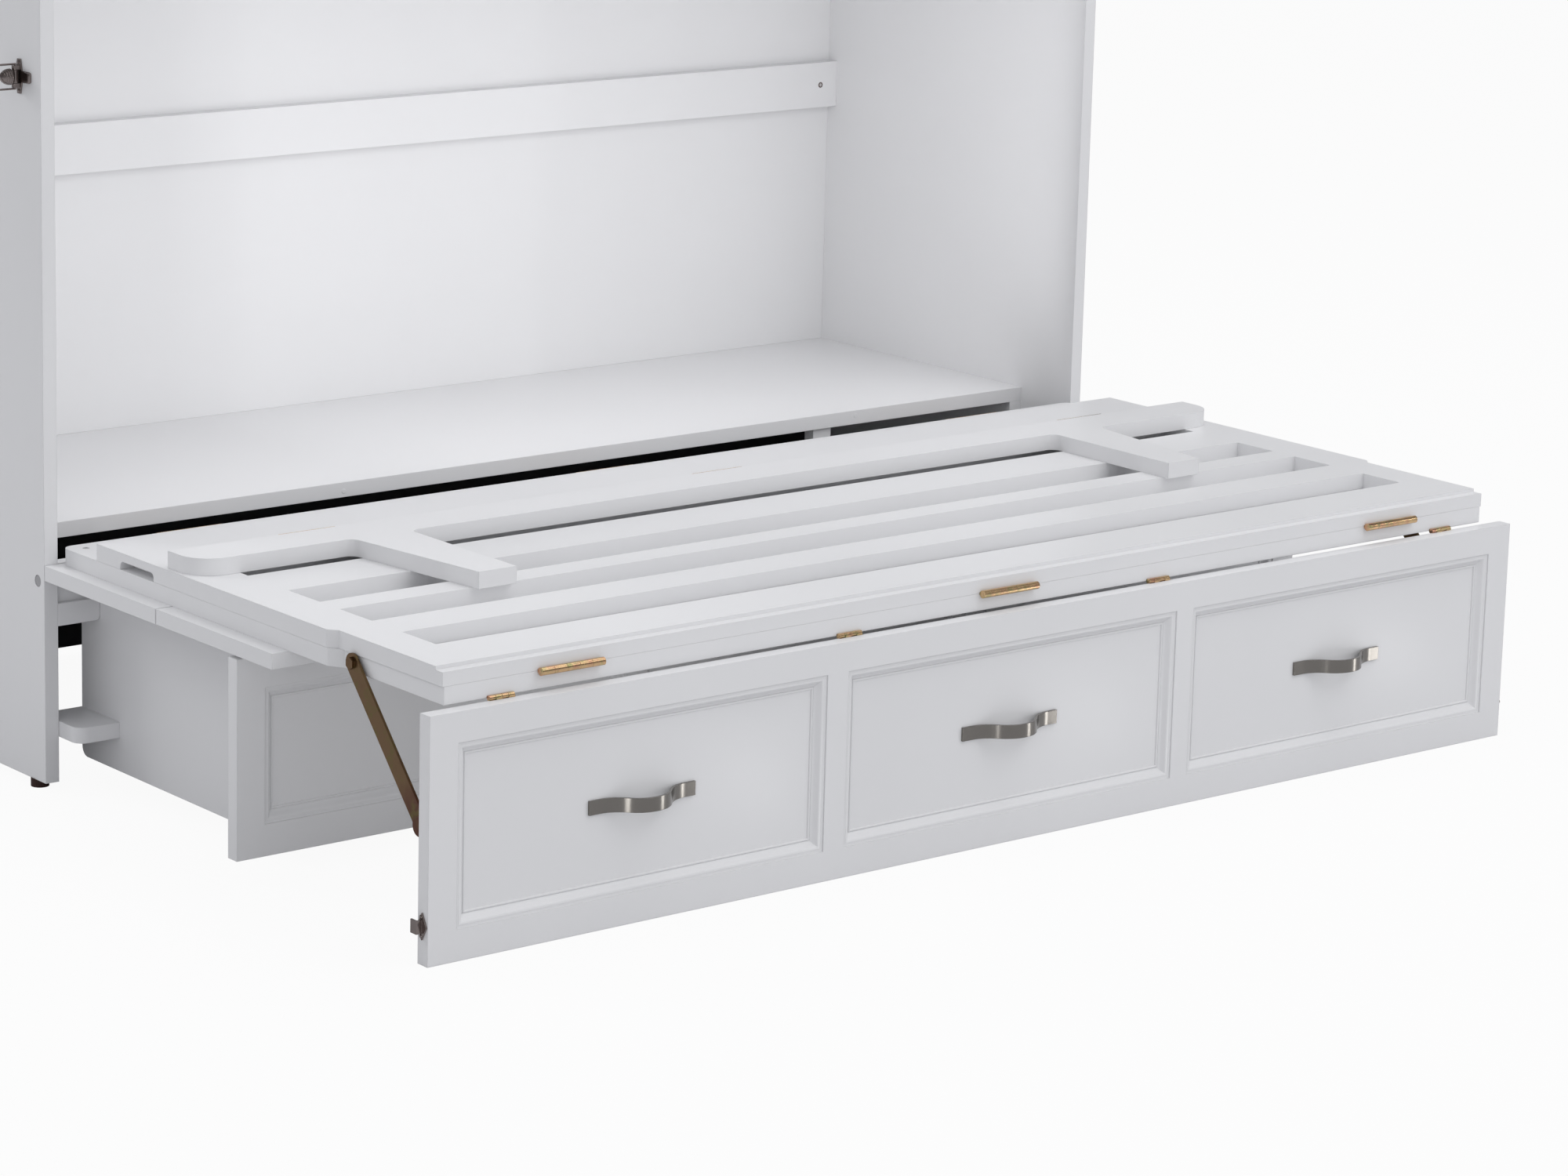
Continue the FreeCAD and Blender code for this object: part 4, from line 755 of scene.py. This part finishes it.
@dataclass
class Fittings:
    """Screws, plugs and rivets set into the boards and plates."""

    finishes: Finishes
    made: int = 0
    cleat_screw_inset: float = 0.030
    deck_screw_inset: float = 0.022
    deck_screw_depths: tuple[float, ...] = (0.020, 0.058)
    plug_places: tuple[tuple[float, float], ...] = ((-0.331, 0.0075), (0.501, 0.0115))
    keeper_pitch: float = 0.0105
    latch_pitch: float = 0.0165
    plate_stand: float = 0.002

    def add(self, name: str, surface: tuple[np.ndarray, np.ndarray], slot: str,
            body: str) -> bpy.types.Object:
        """Makes one fitting and lets it ride.

        Args:
            name: the piece's name.
            surface: its points and faces.
            slot: the record's slot that gives its finish.
            body: the body it moves with.

        Returns:
            The piece.
        """
        piece = make_piece(name, surface[0], surface[1], self.finishes.materials[slot])
        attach(piece, body)
        self.made += 1
        return piece

    def add_screws(self) -> None:
        """Cross-head screws: back cleat ends and the deck's rear corners."""
        screw = ScrewHead()
        low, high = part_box("back_cleat")
        middle = (low.z + high.z) / 2
        for side in Side:
            x = side.value * (high.x - self.cleat_screw_inset)
            self.add("cleat_screw_" + side.word,
                     screw.surface((x, low.y, middle), Facing.ROOM), "dark_nickel", "cabinet")
        low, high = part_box("deck")
        for side in Side:
            for row, depth in enumerate(self.deck_screw_depths):
                x = side.value * (high.x - self.deck_screw_inset)
                self.add("deck_screw_%s_%d" % (side.word, row),
                         screw.surface((x, high.y - depth, high.z), Facing.UP),
                         "bolt_steel", "deck")

    def add_plugs(self) -> None:
        """Small painted plugs in the platform's front edge."""
        plug = Plug(0.0032)
        low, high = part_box("platform")
        for number, (x, lift) in enumerate(self.plug_places):
            self.add("platform_plug_%d" % number,
                     plug.surface((x, low.y, low.z + lift), Facing.ROOM),
                     "white_paint", "cabinet")

    def add_rivets(self) -> None:
        """Domed rivets on the keepers and the latch plates."""
        for side in Side:
            word = side.word
            look = Facing.LEFT if side is Side.LEFT else Facing.RIGHT
            low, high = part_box("keeper_" + word)
            face = side.value * (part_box("front_panel")[1].x + self.plate_stand)
            centre = low.y + 0.0095
            for row, lift in enumerate((-self.keeper_pitch, self.keeper_pitch)):
                spot = (face, centre, (low.z + high.z) / 2 + lift)
                self.add("keeper_rivet_%s_%d" % (word, row),
                         Rivet(0.0022, 0.0012).surface(spot, look), "dark_nickel", "panel")
            low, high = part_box("latch_base_" + word)
            face = side.value * (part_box("side_right")[1].x + self.plate_stand)
            for row, lift in enumerate((-self.latch_pitch, self.latch_pitch)):
                spot = (face, (low.y + high.y) / 2 + 0.004, (low.z + high.z) / 2 + lift)
                self.add("latch_rivet_%s_%d" % (word, row),
                         Rivet(0.0020, 0.0014).surface(spot, look), "dark_nickel", "cabinet")

    def add_mouldings(self) -> None:
        """Lines every sunk frame of the panel, the drawer front and the two boards."""
        for board in FRAMED_BOARDS:
            for number, (left, right) in enumerate(FRAME_COLUMNS):
                self.add("%s_moulding_%d" % (board.node, number), board.surface(left, right),
                         "white_paint", board.body)

    def add_latch_trims(self) -> None:
        """Domes on the levers and tongues beside the plates."""
        trim = LatchTrim()
        for side in Side:
            self.add("latch_dome_" + side.word, trim.dome(side), "dark_nickel",
                     "latch_lever_" + side.word)
            self.add("latch_tongue_" + side.word, trim.tongue(side), "dark_nickel", "cabinet")

    def build(self) -> None:
        """Adds every fitting."""
        self.add_screws()
        self.add_mouldings()
        self.add_latch_trims()
        self.add_plugs()
        self.add_rivets()
        LOG.info("added %d small fittings", self.made)


# ---------------------------------------------------------------- studio
@dataclass(frozen=True)
class Lamp:
    """One soft box: where it stands, what it looks at, its size and its power in watts."""

    name: str
    place: Triple
    target: Triple
    size: tuple[float, float]
    power: float
    shows: Shows = Shows.ALL

    def build(self) -> None:
        """Adds the lamp; the camera never sees it, and shows says which surfaces do."""
        data = bpy.data.lights.new(self.name, "AREA")
        data.shape = "RECTANGLE"
        data.size, data.size_y = self.size
        data.energy = self.power
        lamp = bpy.data.objects.new(self.name, data)
        direction = Vector(self.target) - Vector(self.place)
        lamp.matrix_world = (Matrix.Translation(self.place)
                             @ direction.to_track_quat("-Z", "Y").to_matrix().to_4x4())
        lamp.visible_camera = False
        lamp.visible_glossy = self.shows is not Shows.MATT
        lamp.visible_diffuse = self.shows is not Shows.POLISH
        bpy.context.scene.collection.objects.link(lamp)


FLOOR_DROP = 0.0005
FLOOR_GLOW = 0.94
WORLD_LIGHT = 0.60
MIRROR_LIGHT = 0.22
LAMPS = (
    Lamp("overhead box", (0.8, -0.6, 4.4), (0.0, -0.2, 0.2), (4.0, 3.0), 57.0),
    Lamp("front high box", (1.2, -3.4, 3.6), (0.0, 0.2, 0.4), (3.0, 2.0), 30.0),
    Lamp("front low box", (0.2, -5.4, 0.9), (0.0, -0.2, 0.3), (4.0, 1.2), 16.0, Shows.MATT),
    Lamp("right strip", (4.0, -3.2, 1.4), (0.0, -0.6, 0.3), (0.12, 2.4), 9.0),
    Lamp("left strip", (-4.6, -3.3, 1.4), (0.0, -0.6, 0.3), (0.14, 2.4), 11.0),
    Lamp("chest fill", (0.0, 0.12, 0.70), (0.0, 1.12, 0.74), (1.5, 0.6), 1.9, Shows.MATT),
    Lamp("chest fill right", (-0.25, 0.3, 0.72), (0.75, 0.5, 0.72), (0.5, 0.6), 0.2, Shows.MATT),
    Lamp("drawer fill", (-0.45, -0.61, 0.15), (-0.45, -0.29, 0.15), (0.6, 0.16), 0.27, Shows.MATT),
    Lamp("rear left box", (-2.2, 2.4, 1.9), (-0.82, 0.4, 0.8), (1.0, 1.2), 19.0, Shows.MATT),
)


@dataclass
class Studio:
    """Plain pale floor, soft lamps and the camera at the photograph's angle."""

    focal_pixels: float = 5904.0
    photo_width: float = 2000.0
    photo_height: float = 1500.0
    centre_x: float = 740.0
    centre_y: float = 580.0
    azimuth: float = 37.05
    elevation: float = 12.14
    roll: float = 0.977
    place: Triple = (-3.483, -4.4365, 1.546)
    floor_radius: float = 14.0
    glint_turns: tuple[int, ...] = (57, -59)
    glint_reach: float = 0.40
    glint_size: tuple[float, float] = (0.05, 0.07)
    glint_power: float = 0.07

    def add_camera(self) -> None:
        """Builds the camera from its turn, tilt, roll and principal point."""
        az, el, ro = (math.radians(v) for v in (self.azimuth, self.elevation, self.roll))
        forward = Vector((math.sin(az) * math.cos(el), math.cos(az) * math.cos(el),
                          -math.sin(el)))
        right = Vector((math.cos(az), -math.sin(az), 0.0))
        up = right.cross(forward)
        turned_right = right * math.cos(ro) + up * math.sin(ro)
        turned_up = up * math.cos(ro) - right * math.sin(ro)
        turn = Matrix((turned_right, turned_up, -forward)).transposed()
        data = bpy.data.cameras.new("photo camera")
        data.sensor_width = 36.0
        data.lens = self.focal_pixels / self.photo_width * 36.0
        data.shift_x = (self.photo_width / 2 - self.centre_x) / self.photo_width
        data.shift_y = (self.centre_y - self.photo_height / 2) / self.photo_width
        data.clip_end = 100.0
        camera = bpy.data.objects.new("photo camera", data)
        camera.matrix_world = Matrix.Translation(self.place) @ turn.to_4x4()
        bpy.context.scene.collection.objects.link(camera)
        bpy.context.scene.camera = camera

    def add_floor(self) -> None:
        """A wide disc: white to the camera, with a trace of the object's shadow."""
        angle = np.linspace(0.0, 2 * math.pi, 96, endpoint=False)
        reach = np.array([0.0, self.floor_radius])[:, None]
        points = np.stack([reach * np.cos(angle), reach * np.sin(angle),
                           np.full((len(reach), len(angle)), -FLOOR_DROP)], axis=-1).reshape(-1, 3)
        material, graph, shader = shader_of("studio floor")
        tint = graph.noise(graph.stretched((1.0, 1.0, 1.0)), 0.8, 2.0)
        colour = graph.mix(tint, (0.60, 0.60, 0.61, 1), (0.63, 0.63, 0.64, 1))
        graph.feed(shader, Base_Color=colour, Roughness=0.8, Specular_IOR_Level=0.1)
        glow = graph.add("Emission")
        graph.feed(glow, Color=(1, 1, 1, 1), Strength=1.0)
        path = graph.add("LightPath")
        share = graph.math("MULTIPLY", path.outputs["Is Camera Ray"], FLOOR_GLOW)
        blend = graph.add("MixShader")
        graph.join(share, blend.inputs[0])
        graph.join(shader.outputs[0], blend.inputs[1])
        graph.join(glow.outputs[0], blend.inputs[2])
        output = material.node_tree.nodes["Material Output"]
        graph.join(blend.outputs[0], output.inputs["Surface"])
        floor = make_piece("studio_floor", points, grid_faces(len(reach), len(angle)), material, False)

    def add_world(self) -> None:
        """White to the camera, dim in reflections, a soft grey-white for light."""
        world = bpy.data.worlds.new("studio world")
        bpy.context.scene.world = world
        world.use_nodes = True
        graph = Graph(world.node_tree)
        background = world.node_tree.nodes["Background"]
        path = graph.add("LightPath")
        dim = graph.math("MULTIPLY", path.outputs["Is Glossy Ray"], WORLD_LIGHT - MIRROR_LIGHT)
        level = graph.math("SUBTRACT", WORLD_LIGHT, dim)
        lift = graph.math("MULTIPLY", path.outputs["Is Camera Ray"], 1.0 - WORLD_LIGHT)
        graph.join(graph.math("ADD", lift, level), background.inputs["Strength"])
        white = graph.mix(path.outputs["Is Camera Ray"], (0.96, 0.97, 1.0, 1), (1, 1, 1, 1))
        graph.join(white, background.inputs["Color"])

    def add_glints(self) -> None:
        """Two small lights low in front of each pull, which only its polish shows.

        A pull's upright face sends the view on downwards, so each light stands along
        that way: reach times (sin turn, -cos turn, -tan elevation) from the pull.
        """
        for word in ("left", "middle", "right"):
            low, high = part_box("pull_" + word)
            middle = (low + high) / 2
            for turn in self.glint_turns:
                angle = math.radians(turn)
                way = Vector((math.sin(angle), -math.cos(angle),
                              -math.tan(math.radians(self.elevation))))
                place = middle + way * self.glint_reach
                Lamp("glint %s %d" % (word, turn), tuple(place), tuple(middle),
                     self.glint_size, self.glint_power, Shows.POLISH).build()

    def build(self) -> None:
        """Sets up camera, floor, world, lamps and the view's tone."""
        self.add_camera()
        self.add_floor()
        self.add_world()
        for lamp in LAMPS:
            lamp.build()
        self.add_glints()
        bpy.context.scene.view_settings.view_transform = "Standard"
        LOG.info("studio ready")


def main() -> None:
    """Builds finishes, fittings and studio in order."""
    finishes = Finishes(Effects())
    finishes.build()
    finishes.dress_frame(frame["nodes"], frame["record"])
    Fittings(finishes).build()
    Studio().build()


if __name__ == "__main__":
    main()
